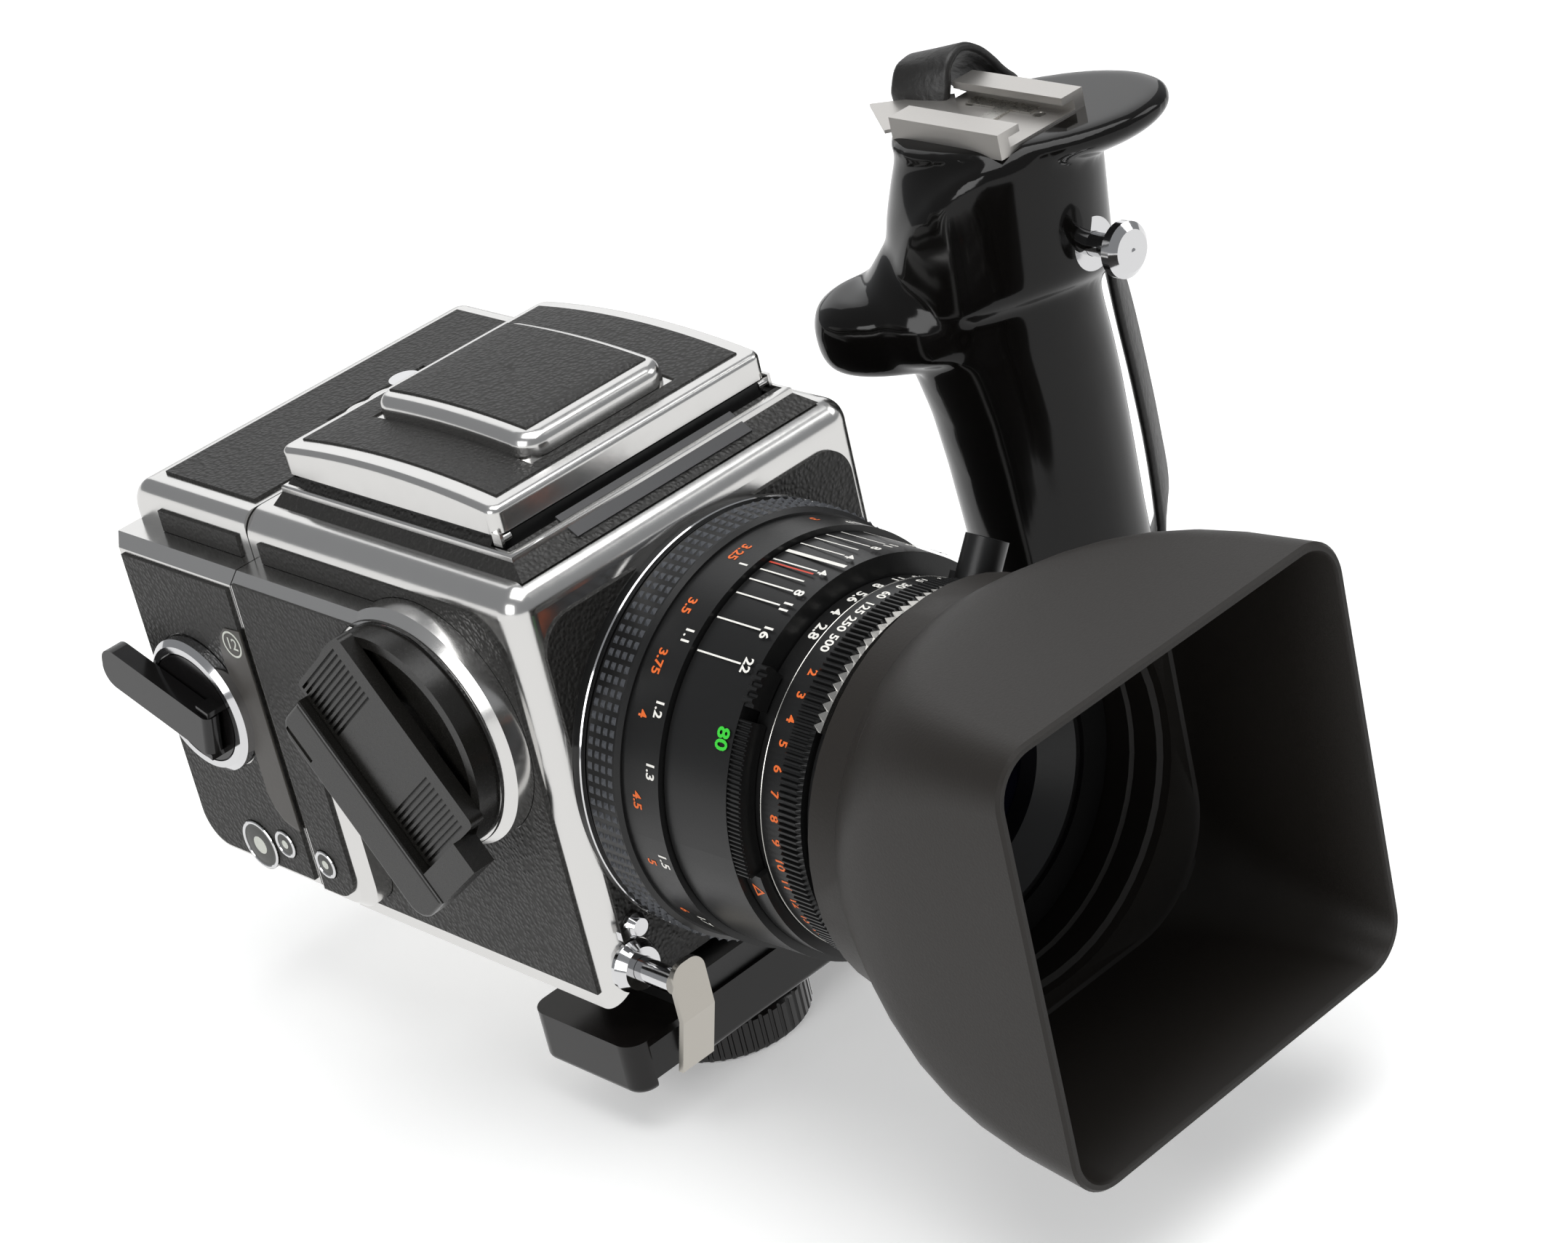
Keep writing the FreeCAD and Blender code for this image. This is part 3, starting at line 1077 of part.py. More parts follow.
piece("preview_slider", arc_piece("slider", "aperture_radius + 0.15", "slider_radius",
                                  APERTURE,
                                  f"{SHUTTER} - 0.15", "slider_start", "slider_sweep"))
piece("front_bezel", turned("bezel", "-y", [
    ("glass_radius + 0.05", "barrel_length - 9"), ("barrel_bore", "barrel_length - 9"),
                                            ("barrel_bore", "barrel_length - 1"),
    ("barrel_bore - 1", "barrel_length - 1"), ("glass_radius + 0.05", "barrel_length - 5")], z="lens_height"))
for name, low, bulge in (("front_element", "barrel_length - 11.4", "1"), ("rear_element", "0", "-1")):
    reach = f"{low} + 5*({bulge})"
    disc = rod(f"{name}_disc", "y", "glass_radius", f"-({low}) - 6", f"-({low})", "0", "lens_height")
    ball = DOC.addObject("Part::Sphere", f"{name}_ball")
    ball.setExpression("Radius", text("glass_curve"))
    place(ball, "0", f"-({low}) - 3 + ({bulge})*(glass_curve - 3)", "lens_height")
    piece(name, common(name + "_glass", disc, ball))
blades = []
for number in range(int(value("blade_count"))):
    low = f"blade_start + blade_step*{number}"
    blades.append(arc_piece(f"blade_{number}", "blade_inner_radius", "barrel_bore - 0.02", low,
                            f"{low} + blade_thick", f"360/blade_count*{number}", "blade_sweep"))
piece("aperture_blades", fuse("blades", *blades))
SYNC = point("0", f"-({COLLAR} + 2)", "lens_height")
stub_turn = value("sync_angle")
stub = Part.makeCylinder(value("sync_radius"), value("sync_reach - front_rim_radius - 1.5"),
                         point("0", f"-({COLLAR} - sync_radius)", "lens_height + front_rim_radius + 1.5"),
                         Vector(0, 0, 1))
stub = stub.cut(Part.makeCylinder(value("sync_radius - 1.2"), value("sync_reach"), point(
    "0", f"-({COLLAR} - sync_radius)", "lens_height + front_rim_radius + 3"), Vector(0, 0, 1)))
saddle = Part.makeBox(value("saddle_width"), value("sync_radius*2 + 3"), value("saddle_thick"))
saddle.translate(point("-saddle_width/2", f"-({COLLAR} + 3)", "lens_height + front_rim_radius + 0.35"))
within = Part.makeCylinder(value("sync_reach"), value("sync_reach"),
                           point("0", f"-({COLLAR}) - sync_reach/2", "lens_height"), Vector(0, 1, 0))
clear = Part.makeCylinder(value("shutter_radius + 0.2"), value("sync_reach*2"),
                          point("0", f"-({COLLAR}) - sync_reach", "lens_height"), Vector(0, 1, 0))
saddle = saddle.common(within.cut(clear))
socket = stub.fuse(saddle)
socket.rotate(SYNC, Vector(0, -1, 0), stub_turn - 90)
piece("sync_socket", shaped("sync", socket))


def square_ring(width, height, corner, distance):
    """A rounded square about the lens axis at a distance ahead of the body's face."""
    middle = point("0", f"-({distance})", "lens_height")
    half_w, half_h = value(width) / 2, value(height) / 2
    radius = value(corner)
    edges = []
    for number in range(4):
        sx, sz = ((1, 1), (-1, 1), (-1, -1), (1, -1))[number]
        turn = math.pi / 2 * number
        hub = Vector(sx * (half_w - radius), 0, sz * (half_h - radius))
        turns = [turn, turn + math.pi / 4, turn + math.pi / 2]
        arc = [hub + Vector(math.cos(angle), 0, math.sin(angle)) * radius for angle in turns]
        edges.append((arc, Part.Arc(*[p + middle for p in arc]).toShape()))
    wire = []
    for number, (arc, edge) in enumerate(edges):
        wire.append(edge)
        wire.append(Part.makeLine(arc[2] + middle, edges[(number + 1) % 4][0][0] + middle))
    return Part.Wire(wire)


FLARE = "hood_start + hood_collar"
MOUTH = "hood_start + hood_length"
outer = Part.makeLoft([square_ring("hood_rear_radius*2", "hood_rear_radius*2", "hood_rear_radius - 3", FLARE),
                       square_ring("hood_mid_width", "hood_mid_width - 1", "hood_mid_corner",
                                   "hood_start + hood_mid"),
                       square_ring("hood_width", "hood_height", "hood_corner", MOUTH)], True, False)
inner = Part.makeLoft([square_ring("hood_rear_radius*2 - 8", "hood_rear_radius*2 - 8",
                                   "hood_rear_radius - 7", FLARE),
                       square_ring("hood_mid_width - hood_wall*2", "hood_mid_width - 1 - hood_wall*2",
                                   "hood_mid_corner - hood_wall",
                                   "hood_start + hood_mid"),
                       square_ring("hood_width - hood_wall*2", "hood_height - hood_wall*2",
                                   "hood_corner - hood_wall", MOUTH)],
                      True, False)
collar = square_ring("hood_rear_radius*2", "hood_rear_radius*2", "hood_rear_radius - 3", "hood_start")
neck = Part.Face(collar).extrude(Vector(0, -value("hood_collar"), 0))
bore = Part.makeCylinder(value("front_rim_radius + 0.05"), value("hood_collar") + 0.2,
                         point("0", "-hood_start + 0.1", "lens_height"), Vector(0, -1, 0))
piece("hood", shaped("hood_shell", outer.fuse(neck).cut(inner).cut(bore)))


# Bracket: a flat bar under the body, its end cap and the wheel that clamps the body's foot.
BAR_Z = ("-foot_thick - bar_thick", "-foot_thick")
beam = box("beam_block", ("bar_left", "bar_right"), ("bar_front", "bar_rear"), BAR_Z)
beam = rounded("beam_end", beam, "bar_end_radius", both(along("z"), at("x", "bar_left")))
beam = rounded("beam_edges", beam, "beam_round", both(along("x"), at("z", BAR_Z[0])))
piece("bracket_bar", cut(
    "beam", beam,
    rod("beam_hole", "z", "screw_radius + gap", "-foot_thick - bar_thick - 1", "-foot_thick + 1",
        "-lens_offset", "front_reach"),
    box("beam_slot", ("release_x - 4", "release_x + 6"), ("bar_front - 1", "bar_front + 3"),
        ("-foot_thick - bar_thick - 1", "-foot_thick - 1.5"))))
wheel = turned("wheel", "z", [
    ("0", "0"), ("socket_radius", "0"), ("wheel_radius - 1", "0"), ("wheel_radius", "1"),
                              ("wheel_radius", "wheel_height - gap - 1"),
    ("wheel_radius - 1", "wheel_height - gap"), ("0", "wheel_height - gap")], "-lens_offset", "front_reach",
               f"-{BASE}")
screw = rod("wheel_screw", "z", "screw_radius", f"-{BASE} + 1", f"-{BASE} + wheel_height + screw_length",
            "-lens_offset", "front_reach")
socket = rod("wheel_socket", "z", "socket_radius", f"-{BASE} - 1", f"-{BASE} + socket_length",
             "-lens_offset", "front_reach")
wheel = cut("wheel_solid", fuse("wheel_and_screw", wheel, screw), socket)
DOC.recompute()
centre = point("-lens_offset", "front_reach", f"-{BASE}")
flutes = [Part.makeCylinder(value("wheel_flute_radius"), value("wheel_height"),
                            Vector(value("wheel_radius") + 0.1, 0, 0)) for _ in range(
    int(value("wheel_rib_count")))]
for number, flute in enumerate(flutes):
    flute.rotate(Vector(), Vector(0, 0, 1), number * 360 / len(flutes))
    flute.translate(centre)
piece("clamp_wheel", shaped("wheel_fluted", wheel.Shape.cut(Part.Compound(flutes))))

# Side grip: a moulded handle on the bar's end. ACROSS runs across the photographed side.
ACROSS = Vector(0.734, -0.679, 0)
DEEP = Vector(0.679, 0.734, 0)


def section(height, *reaches):
    """An oval through the grip at a height; left, right and depth are shares of half its width."""
    left, right, depth = [reach * value("grip_half") for reach in reaches]
    middle = point("grip_x", "grip_y", height) + ACROSS * ((left + right) / 2)
    wide = (right - left) / 2
    long, short = (wide, depth) if wide >= depth else (depth, wide)
    oval = Part.Ellipse(middle + (ACROSS if wide >= depth else DEEP) * long,
                        middle + (DEEP if wide >= depth else ACROSS) * short, middle)
    return Part.Wire([oval.toShape()])


HANDLE = [("-wheel_height - bar_thick - foot_thick", -1, 0.95, 1.025), ("shoe_floor*0.084", -0.94, 0.9, 0.98),
          ("shoe_floor*0.277", -0.93, 0.88, 0.96), ("shoe_floor*0.454", -1.03, 0.9, 0.98),
          ("shoe_floor*0.555", -1.135, 0.93, 1.025), ("shoe_floor*0.63", -1.3, 0.975, 1.075)]
HEAD = [HANDLE[-1], ("shoe_floor*0.74", -1.215, 1.1, 1.1), ("shoe_floor*0.824", -1.03, 1.08, 1.075),
        ("shoe_floor*0.891", -0.89, 1.05, 1.025), ("shoe_floor - shoe_plate", -0.86, 1.1, 1.025)]
handle = Part.makeLoft([section(*row) for row in HANDLE], True, False)
head = Part.makeLoft([section(*row) for row in HEAD], True, False)


def lobe(low, high, *reaches):
    """A rounded rest along ACROSS between two heights; its reaches are shares of half the width."""
    reach_low, reach_high, width, soft = [reach * value("grip_half") for reach in reaches]
    block = Part.makeBox(reach_high - reach_low, width, value(f"({high}) - ({low})"))
    block = block.makeFillet(soft, block.Edges)
    block.translate(Vector(reach_low, -width / 2, 0))
    block.rotate(Vector(), Vector(0, 0, 1), math.degrees(math.atan2(ACROSS.y, ACROSS.x)))
    block.translate(point("grip_x", "grip_y", low))
    return block


rest = lobe("shoe_floor*0.622", "shoe_floor*0.74", -1.95, 0.2, 1.5, 0.31)
beak = lobe("shoe_floor - shoe_plate - grip_half*0.47", "shoe_floor - shoe_plate", -0.2, 1.82, 1.4, 0.22)
grip = handle.fuse([head, rest, beak]).removeSplitter()
slot = Part.makeBox(value("bar_right - grip_x + 60"), value("bar_rear - bar_front"), value("bar_thick"))
slot.translate(point("grip_x - 60", "bar_front", BAR_Z[0]))
PLUNGER_Y = "grip_y - plunger_reach"
shaft = Part.makeCylinder(value("plunger_stem_radius + fit_gap"), value("grip_half*3"),
                          point("plunger_x", f"{PLUNGER_Y} - grip_half", "plunger_z"), Vector(0, 1, 0))
seat = Part.makeCylinder(value("plunger_collar_radius"), value("grip_half"),
                         point("plunger_x", f"{PLUNGER_Y} - grip_half", "plunger_z"), Vector(0, 1, 0))
spring_room = Part.makeCylinder(value("spring_radius + 0.6"), value("spring_length + 1"),
                                point("plunger_x", f"{PLUNGER_Y} + 3", "plunger_z"), Vector(0, 1, 0))
grip = grip.cut(slot).cut(shaft.fuse([seat, spring_room]))
piece("grip_body", shaped("grip", grip))

# Plunger: collar, sprung stem with its round head.
piece("plunger_collar", turned("plunger_ring", "-y", [
    ("plunger_stem_radius + fit_gap", "0"), ("plunger_collar_radius - 0.05", "0"),
                                                      ("plunger_collar_radius - 0.05", "1.6"),
    ("plunger_stem_radius + fit_gap", "1.6")], "plunger_x", PLUNGER_Y, "plunger_z"))
piece("plunger_button", turned("plunger", "-y", [
    ("0", "-5 - spring_length - 3"), ("plunger_stem_radius", "-5 - spring_length - 3"),
                                                 ("plunger_stem_radius", "plunger_stem_length"),
    ("plunger_head_radius", "plunger_stem_length"), ("plunger_head_radius", "plunger_stem_length + 1.8"),
    ("plunger_head_radius - 1.4", "plunger_stem_length + 3"), ("0", "plunger_stem_length + 3.4")],
    "plunger_x", PLUNGER_Y, "plunger_z"))
coil = Part.makeHelix(value("spring_pitch"), value("spring_length"), value("spring_radius"))
wire = Part.Wire([Part.makeCircle(value("spring_wire"), Vector(value("spring_radius"), 0, 0),
                                  Vector(0, 1, 0))])
coil = Part.Wire(coil.Edges).makePipeShell([wire], True, True)
coil.rotate(Vector(), Vector(1, 0, 0), -90)
coil.translate(point("plunger_x", f"{PLUNGER_Y} + 3.5", "plunger_z"))
piece("plunger_spring", shaped("plunger_coil", coil))

# Accessory shoe: a plate with two lipped rails, held by four screws, with a leaf spring.
SHOE = ("shoe_x - shoe_width/2", "shoe_x + shoe_width/2")
SHOE_Y = ("shoe_y - shoe_length/2", "shoe_y + shoe_length/2")
TOPZ = "shoe_floor"
floor = box("shoe_floor_plate", SHOE, SHOE_Y, (f"{TOPZ} - shoe_plate", TOPZ))
rails = []
for name, sign in (("left", "-"), ("right", "")):
    wall = sorted((f"shoe_x + {sign}(shoe_width/2)".replace("+ -", "- "),
                   f"shoe_x + {sign}(shoe_slot/2)".replace("+ -", "- ")), key=value)
    lip = sorted((f"shoe_x + {sign}(shoe_width/2)".replace("+ -", "- "),
                  f"shoe_x + {sign}(shoe_slot/2 - shoe_lip)".replace("+ -", "- ")), key=value)
    rails.append(box(f"shoe_wall_{name}", wall, SHOE_Y,
                     (f"{TOPZ} - 0.1", f"{TOPZ} + shoe_slot_height + shoe_rail")))
    rails.append(box(f"shoe_lip_{name}", lip, SHOE_Y,
                     (f"{TOPZ} + shoe_slot_height", f"{TOPZ} + shoe_slot_height + shoe_rail")))
SCREWS = [(f"shoe_x {x} shoe_screw_x", f"shoe_y {y} shoe_screw_y") for x in "-+" for y in "-+"]
sinks = [rod(f"shoe_sink_{n}", "z", "shoe_screw_radius + 0.05", f"{TOPZ} - 6", f"{TOPZ} + 0.1", *spot)
         for n, spot in enumerate(SCREWS)]
shoe = cut("shoe", fuse("shoe_solid", floor, *rails), *sinks)
piece("grip_shoe", shoe)
screws = [rod(f"shoe_screw_{n}", "z", "shoe_screw_radius", f"{TOPZ} - shoe_plate + 0.02", f"{TOPZ} - 0.1",
              *spot)
          for n, spot in enumerate(SCREWS)]
piece("shoe_screws", fuse("screws", *screws))
LEAF_Z = (f"{TOPZ} + 0.02", f"{TOPZ} + leaf_thick")
leaves = [box(f"leaf_{n}", (f"shoe_x {x} leaf_x - leaf_width/2", f"shoe_x {x} leaf_x + leaf_width/2"),
              ("shoe_y - 7", "shoe_y + 10"), LEAF_Z) for n, x in enumerate("-+")]
bridge = box("leaf_bridge", ("shoe_x - leaf_x", "shoe_x + leaf_x"), ("shoe_y - 2", "shoe_y + 2"), LEAF_Z)
piece("shoe_spring", fuse("leaf", *leaves, bridge))

# Hand strap: a leather band from the head's rear over its top and down the far side. Its route is
# given as shares of half the grip's width and of the shoe's height.
ROUTE = [(-1.03, 0.866), (-0.98, 0.992), (-0.5, 1.101), (0.15, 1.105), (0.8, 1.017), (1.25, 0.882),
         (1.3, 0.714),
         (1.28, 0.462), (1.175, 0.227), (1.03, 0.067)]


def strap_edge(offset, depth):
    spots = []
    route = [(s * value("grip_half"), z * value("shoe_floor")) for s, z in ROUTE]
    for number, (s, z) in enumerate(route):
        before = route[max(number - 1, 0)]
        after = route[min(number + 1, len(route) - 1)]
        run = Vector(after[0] - before[0], 0, after[1] - before[1]).normalize()
        aside = ACROSS * (s - run.z * offset) + Vector(0, 0, z + run.x * offset)
        spots.append(point("grip_x", "grip_y", "0") + aside + DEEP * depth)
    curve = Part.BSplineCurve()
    curve.interpolate(spots)
    return curve.toShape(), spots


half = value("strap_thick") / 2
start = value("strap_start")
over, over_spots = strap_edge(half, start)
under, under_spots = strap_edge(-half, start)
band = Part.Wire([over, Part.makeLine(over_spots[-1], under_spots[-1]), under,
                  Part.makeLine(under_spots[0], over_spots[0])])
piece("grip_strap", shaped("strap", Part.Face(band).extrude(DEEP * value("strap_width"))))


DOC.recompute()
os.makedirs("parts", exist_ok=True)
for thing in DOC.Objects:
    if "Invalid" in thing.State or "Error" in thing.State:
        raise RuntimeError(f"{thing.Name} did not build")
for name, thing in PIECES:
    if thing.Shape.isNull() or not thing.Shape.isValid() or not thing.Shape.Solids:
        raise RuntimeError(f"{name} has no valid solid")
for name, thing in PIECES:
    thing.Shape.exportStep(f"parts/{name}.step")
print(len(PIECES), "pieces")
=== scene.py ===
from math import cos, pi, radians, sin, sqrt

import bmesh
import bpy
from mathutils import Matrix, Vector


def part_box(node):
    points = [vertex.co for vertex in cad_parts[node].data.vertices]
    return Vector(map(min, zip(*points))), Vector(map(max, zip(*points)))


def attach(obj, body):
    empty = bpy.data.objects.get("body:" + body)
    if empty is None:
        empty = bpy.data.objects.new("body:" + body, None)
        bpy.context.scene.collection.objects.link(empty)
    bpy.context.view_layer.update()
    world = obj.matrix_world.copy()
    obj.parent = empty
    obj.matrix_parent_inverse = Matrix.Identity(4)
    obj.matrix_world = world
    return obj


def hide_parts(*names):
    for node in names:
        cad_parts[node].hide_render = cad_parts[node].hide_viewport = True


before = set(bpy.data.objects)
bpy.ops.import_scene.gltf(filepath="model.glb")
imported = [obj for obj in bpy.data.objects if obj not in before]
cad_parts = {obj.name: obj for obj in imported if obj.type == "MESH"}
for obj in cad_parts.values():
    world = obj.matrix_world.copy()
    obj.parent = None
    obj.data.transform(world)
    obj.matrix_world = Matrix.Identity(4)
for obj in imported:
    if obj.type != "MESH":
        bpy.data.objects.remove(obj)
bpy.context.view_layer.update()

bpy.context.scene.view_settings.view_transform = "Standard"

# The floor is a pale painted board that runs far past the photo's view, and is the background too.
# It is white to the camera and in reflections, and keeps the soft shadow of the camera standing on it.


def linear(colour, strength=1.0):
    """A linear RGBA colour from its sRGB hex value."""
    parts = [int(colour[i:i + 2], 16) / 255 for i in (1, 3, 5)]
    return [strength * (p / 12.92 if p <= 0.04045 else ((p + 0.055) / 1.055) ** 2.4) for p in parts] + [1.0]


def node(material, kind, inputs=None, **settings):
    """Add a shader node with its settings; an input is a value, or the socket that it is linked to."""
    made = material.node_tree.nodes.new("ShaderNode" + kind)
    for name, setting in settings.items():
        setattr(made, name, setting)
    for name, source in (inputs or {}).items():
        if isinstance(source, bpy.types.NodeSocket):
            material.node_tree.links.new(source, made.inputs[name])
        else:
            made.inputs[name].default_value = source
    return made


def new_material(name):
    """An empty node material, with its output node."""
    material = bpy.data.materials.new(name)
    material.use_nodes = True
    material.node_tree.nodes.clear()
    return material, node(material, "OutputMaterial")


def give(thing, material):
    """Put one material in place of all that a piece has."""
    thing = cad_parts[thing] if isinstance(thing, str) else thing
    for slot in range(max(1, len(thing.data.materials))):
        if slot < len(thing.data.materials):
            thing.data.materials[slot] = material
        else:
            thing.data.materials.append(material)
    return thing


FLOOR_SIZE = 12.0
CAMERA_LIFT = 0.3
bpy.ops.object.select_all(action="DESELECT")
bpy.ops.mesh.primitive_plane_add(size=FLOOR_SIZE, location=(0, 0, 0))
floor = bpy.context.object
floor.name = "floor_board"
bpy.ops.object.mode_set(mode="EDIT")
bpy.ops.mesh.subdivide(number_cuts=4)
bpy.ops.object.mode_set(mode="OBJECT")
painted_board, board_out = new_material("painted_board")
board = node(painted_board, "BsdfPrincipled", {"Base Color": linear("#f2f2f1"), "Roughness": 0.75})
rays = node(painted_board, "LightPath")
lift = node(painted_board, "Math", {0: rays.outputs["Is Camera Ray"], 1: CAMERA_LIFT}, operation="MULTIPLY")
glow = node(painted_board, "Emission", {"Color": (1, 1, 1, 1), "Strength": lift.outputs[0]})
lit = node(painted_board, "AddShader", {0: board.outputs[0], 1: glow.outputs[0]})
white = node(painted_board, "Emission", {"Color": (1, 1, 1, 1), "Strength": 1.0})
shine = node(painted_board, "Math", {0: rays.outputs["Is Glossy Ray"], 1: rays.outputs["Is Transmission Ray"]},
             operation="MAXIMUM")
board_mix = node(painted_board, "MixShader", {"Fac": shine.outputs[0], 1: lit.outputs[0], 2: white.outputs[0]})
painted_board.node_tree.links.new(board_mix.outputs[0], board_out.inputs["Surface"])
give(floor, painted_board)

# The room is a white tent: even light from all round, and four large soft lamps that shape the chrome
# and the black plastic: over the object, at its left, at its front right and at its rear right.

TENT_COLOUR = (0.95, 0.97, 1.0, 1.0)
TENT_STRENGTH = 0.3
world = bpy.data.worlds.new("white_tent")
bpy.context.scene.world = world
world.use_nodes = True
tent = world.node_tree
tent.nodes["Background"].inputs["Color"].default_value = TENT_COLOUR
tent.nodes["Background"].inputs["Strength"].default_value = TENT_STRENGTH
# Place and aim in metres, width in metres and power in watts.
LAMPS = {
    "top_lamp": ((0.10, -0.20, 1.30), (0, 0, 0.05), 1.1, 13.0),
    "left_lamp": ((-1.30, -0.30, 0.60), (0, 0, 0.08), 0.8, 9.0),
    "front_lamp": ((1.20, -0.70, 0.90), (0, 0, 0.06), 0.6, 3.0),
    "rear_lamp": ((0.85, 1.10, 0.80), (0, 0, 0.08), 1.3, 4.5),
}
for lamp_name, (spot, aim, width, watts) in LAMPS.items():
    lamp = bpy.data.lights.new(lamp_name, "AREA")
    lamp.size = width
    lamp.energy = watts
    holder = bpy.data.objects.new(lamp_name, lamp)
    holder.location = spot
    holder.rotation_euler = (Vector(spot) - Vector(aim)).to_track_quat("Z", "Y").to_euler()
    bpy.context.collection.objects.link(holder)

# The photographer's camera stands high at the front left and leans 13 degrees. Its place and lens
# were worked out from the known square shapes of the body, the magazine and the hood.

CAMERA_PLACE = (-0.3839, -0.5361, 0.4197)
CAMERA_TURN = radians(-38.08)
CAMERA_RISE = radians(27.234)
CAMERA_LEAN = radians(-13.367)
FOCAL_PIXELS = 5504
PHOTO_WIDTH = 2156
SENSOR_WIDTH = 36.0
photo_camera = bpy.data.cameras.new("photo_camera")
photo_camera.sensor_fit = "HORIZONTAL"
photo_camera.sensor_width = SENSOR_WIDTH
photo_camera.lens = SENSOR_WIDTH * FOCAL_PIXELS / PHOTO_WIDTH
photo_camera.clip_start = 0.02
back = Vector((sin(CAMERA_TURN) * cos(CAMERA_RISE), -cos(CAMERA_TURN) * cos(CAMERA_RISE), sin(CAMERA_RISE)))
right = (-back).cross(Vector((0, 0, 1))).normalized()
upward = right.cross(-back)
level = Matrix((right, upward, back)).transposed()
viewpoint = bpy.data.objects.new("photo_camera", photo_camera)
viewpoint.matrix_world = (Matrix.Translation(CAMERA_PLACE) @ level.to_4x4()
                          @ Matrix.Rotation(CAMERA_LEAN, 4, "Z"))
bpy.context.collection.objects.link(viewpoint)
bpy.context.scene.camera = viewpoint

# Body shell: one aluminium casting, satin chrome plated, with the raised platform that carries the
# crank. The finder lid and the magazine shell are plated the same way and share its finish.


def surface(name, finish, grain):
    """A principled material; grain is (texture output, depth in metres, how much it changes roughness)."""
    material, out = new_material(name)
    inputs = dict(finish)
    source, depth, rough = grain(material)
    bump = node(material, "Bump", {"Height": source, "Distance": depth, "Strength": 1.0})
    inputs["Normal"] = bump.outputs[0]
    low = finish["Roughness"] - rough
    high = finish["Roughness"] + rough
    spread = node(material, "MapRange", {"Value": source, "To Min": low, "To Max": high})
    inputs["Roughness"] = spread.outputs[0]
    shader = node(material, "BsdfPrincipled", inputs)
    material.node_tree.links.new(shader.outputs[0], out.inputs["Surface"])
    return material


def noise(scale, depth, rough):
    """Fine unevenness of a cast, plated or moulded surface, scale in metres."""
    def build(material):
        place = node(material, "TexCoord").outputs["Object"]
        cloud = node(material, "TexNoise", {"Vector": place, "Scale": 1 / scale, "Detail": 3.0})
        return cloud.outputs["Fac"], depth, rough
    return build


# Satin chrome over a polished casting: bright, with soft-edged reflections and faint unevenness.
satin_chrome = surface("satin_chrome_plate", {"Base Color": linear("#dcdbd9"), "Metallic": 1.0,
                                              "Roughness": 0.2}, noise(0.004, 0.00002, 0.05))
for plated in ("body_shell", "finder_lid", "magazine_shell"):
    give(plated, satin_chrome)

# Leather panels: thin pebbled black leatherette, cut to the casting's recesses and glued down. The
# grain was not measured: it is drawn 0.9 mm across, coarse enough to show in the render.
PEBBLE = 0.0009
PEBBLE_DEPTH = 0.00022


def pebbles(material):
    """Rounded cells, bent out of their rows, with rougher joints between them."""
    place = node(material, "TexCoord").outputs["Object"]
    wander = node(material, "TexNoise", {"Vector": place, "Scale": 0.5 / PEBBLE, "Detail": 2.0})
    shift = node(material, "VectorMath", {0: wander.outputs["Color"], "Scale": 0.8 * PEBBLE},
                 operation="SCALE")
    moved = node(material, "VectorMath", {0: place, 1: shift.outputs[0]}, operation="ADD")
    cells = node(material, "TexVoronoi", {"Vector": moved.outputs[0], "Scale": 1 / PEBBLE, "Smoothness": 0.4},
                 feature="SMOOTH_F1")
    dome = node(material, "MapRange", {"Value": cells.outputs["Distance"], "From Min": 0.0, "From Max": 0.75,
                                       "To Min": 1.0, "To Max": 0.0})
    return dome.outputs[0], PEBBLE_DEPTH, -0.1


# Leatherette: dull black pebbles with a faint sheen.
black_leatherette = surface("pebbled_black_leatherette", {"Base Color": linear("#1c1b19"), "Roughness": 0.48,
                                                          "Specular IOR Level": 0.5}, pebbles)
for covered in ("body_leather", "finder_skirt", "magazine_leather"):
    give(covered, black_leatherette)

# Plain plate: a grey satin aluminium strip let into the skirt's front slope, left without words.
# Grey satin plate: blasted and anodised aluminium.
grey_plate = surface("grey_satin_plate", {"Base Color": linear("#4b4b4c"), "Metallic": 0.6,
                                          "Roughness": 0.42}, noise(0.0006, 0.00001, 0.06))
give("name_strip", grey_plate)

# Inside the body: black painted sheet for the light tunnel, doors and foot, a front-silvered mirror
# and a ground glass screen.
# Satin black paint, sprayed and baked.
black_paint = surface("black_satin_paint", {"Base Color": linear("#151515"), "Roughness": 0.4},
                      noise(0.0012, 0.00003, 0.05))
# The lens mount is given this black as well, which makes the band behind the mount's bright edge dark.
for painted in ("lens_mount", "foot_plate", "mirror_box", "upper_door", "lower_door", "flap_left", "flap_right",
                "flap_rear", "magnifier_frame", "pressure_plate", "film_insert", "finder_frame"):
    give(painted, black_paint)
# Silvered glass: a first-surface mirror.
silvered = surface("silvered_glass", {"Base Color": linear("#e6e8e8"), "Metallic": 1.0, "Roughness": 0.03},
                   noise(0.02, 0.000002, 0.01))
give("mirror", silvered)
# Ground glass: matt on one face, so that the image shows on it.
ground_glass = surface("ground_glass", {"Base Color": linear("#dfe3df"), "Roughness": 0.6,
                                        "Transmission Weight": 0.6}, noise(0.0003, 0.00002, 0.1))
give("focusing_screen", ground_glass)

# Bright trim and fittings: small turned parts, polished and then plated with nickel chrome, and
# sheet and spring parts left bare or plated.
bright_chrome = surface("polished_chrome_trim", {"Base Color": linear("#d9d9da"), "Metallic": 1.0,
                                                 "Roughness": 0.1}, noise(0.002, 0.00001, 0.03))
for bright in ("release_collar", "release_button", "release_lock", "magazine_latch", "film_crank_ring",
               "plunger_collar", "plunger_button"):
    give(bright, bright_chrome)
# Brushed steel: sheet and spring parts left bare.
brushed_steel = surface("brushed_spring_steel", {"Base Color": linear("#c4c2bd"), "Metallic": 1.0,
                                                 "Roughness": 0.28}, noise(0.0008, 0.00002, 0.08))
for steel in ("dark_slide", "aperture_blades", "plunger_spring", "shoe_screws", "shoe_spring"):
    give(steel, brushed_steel)
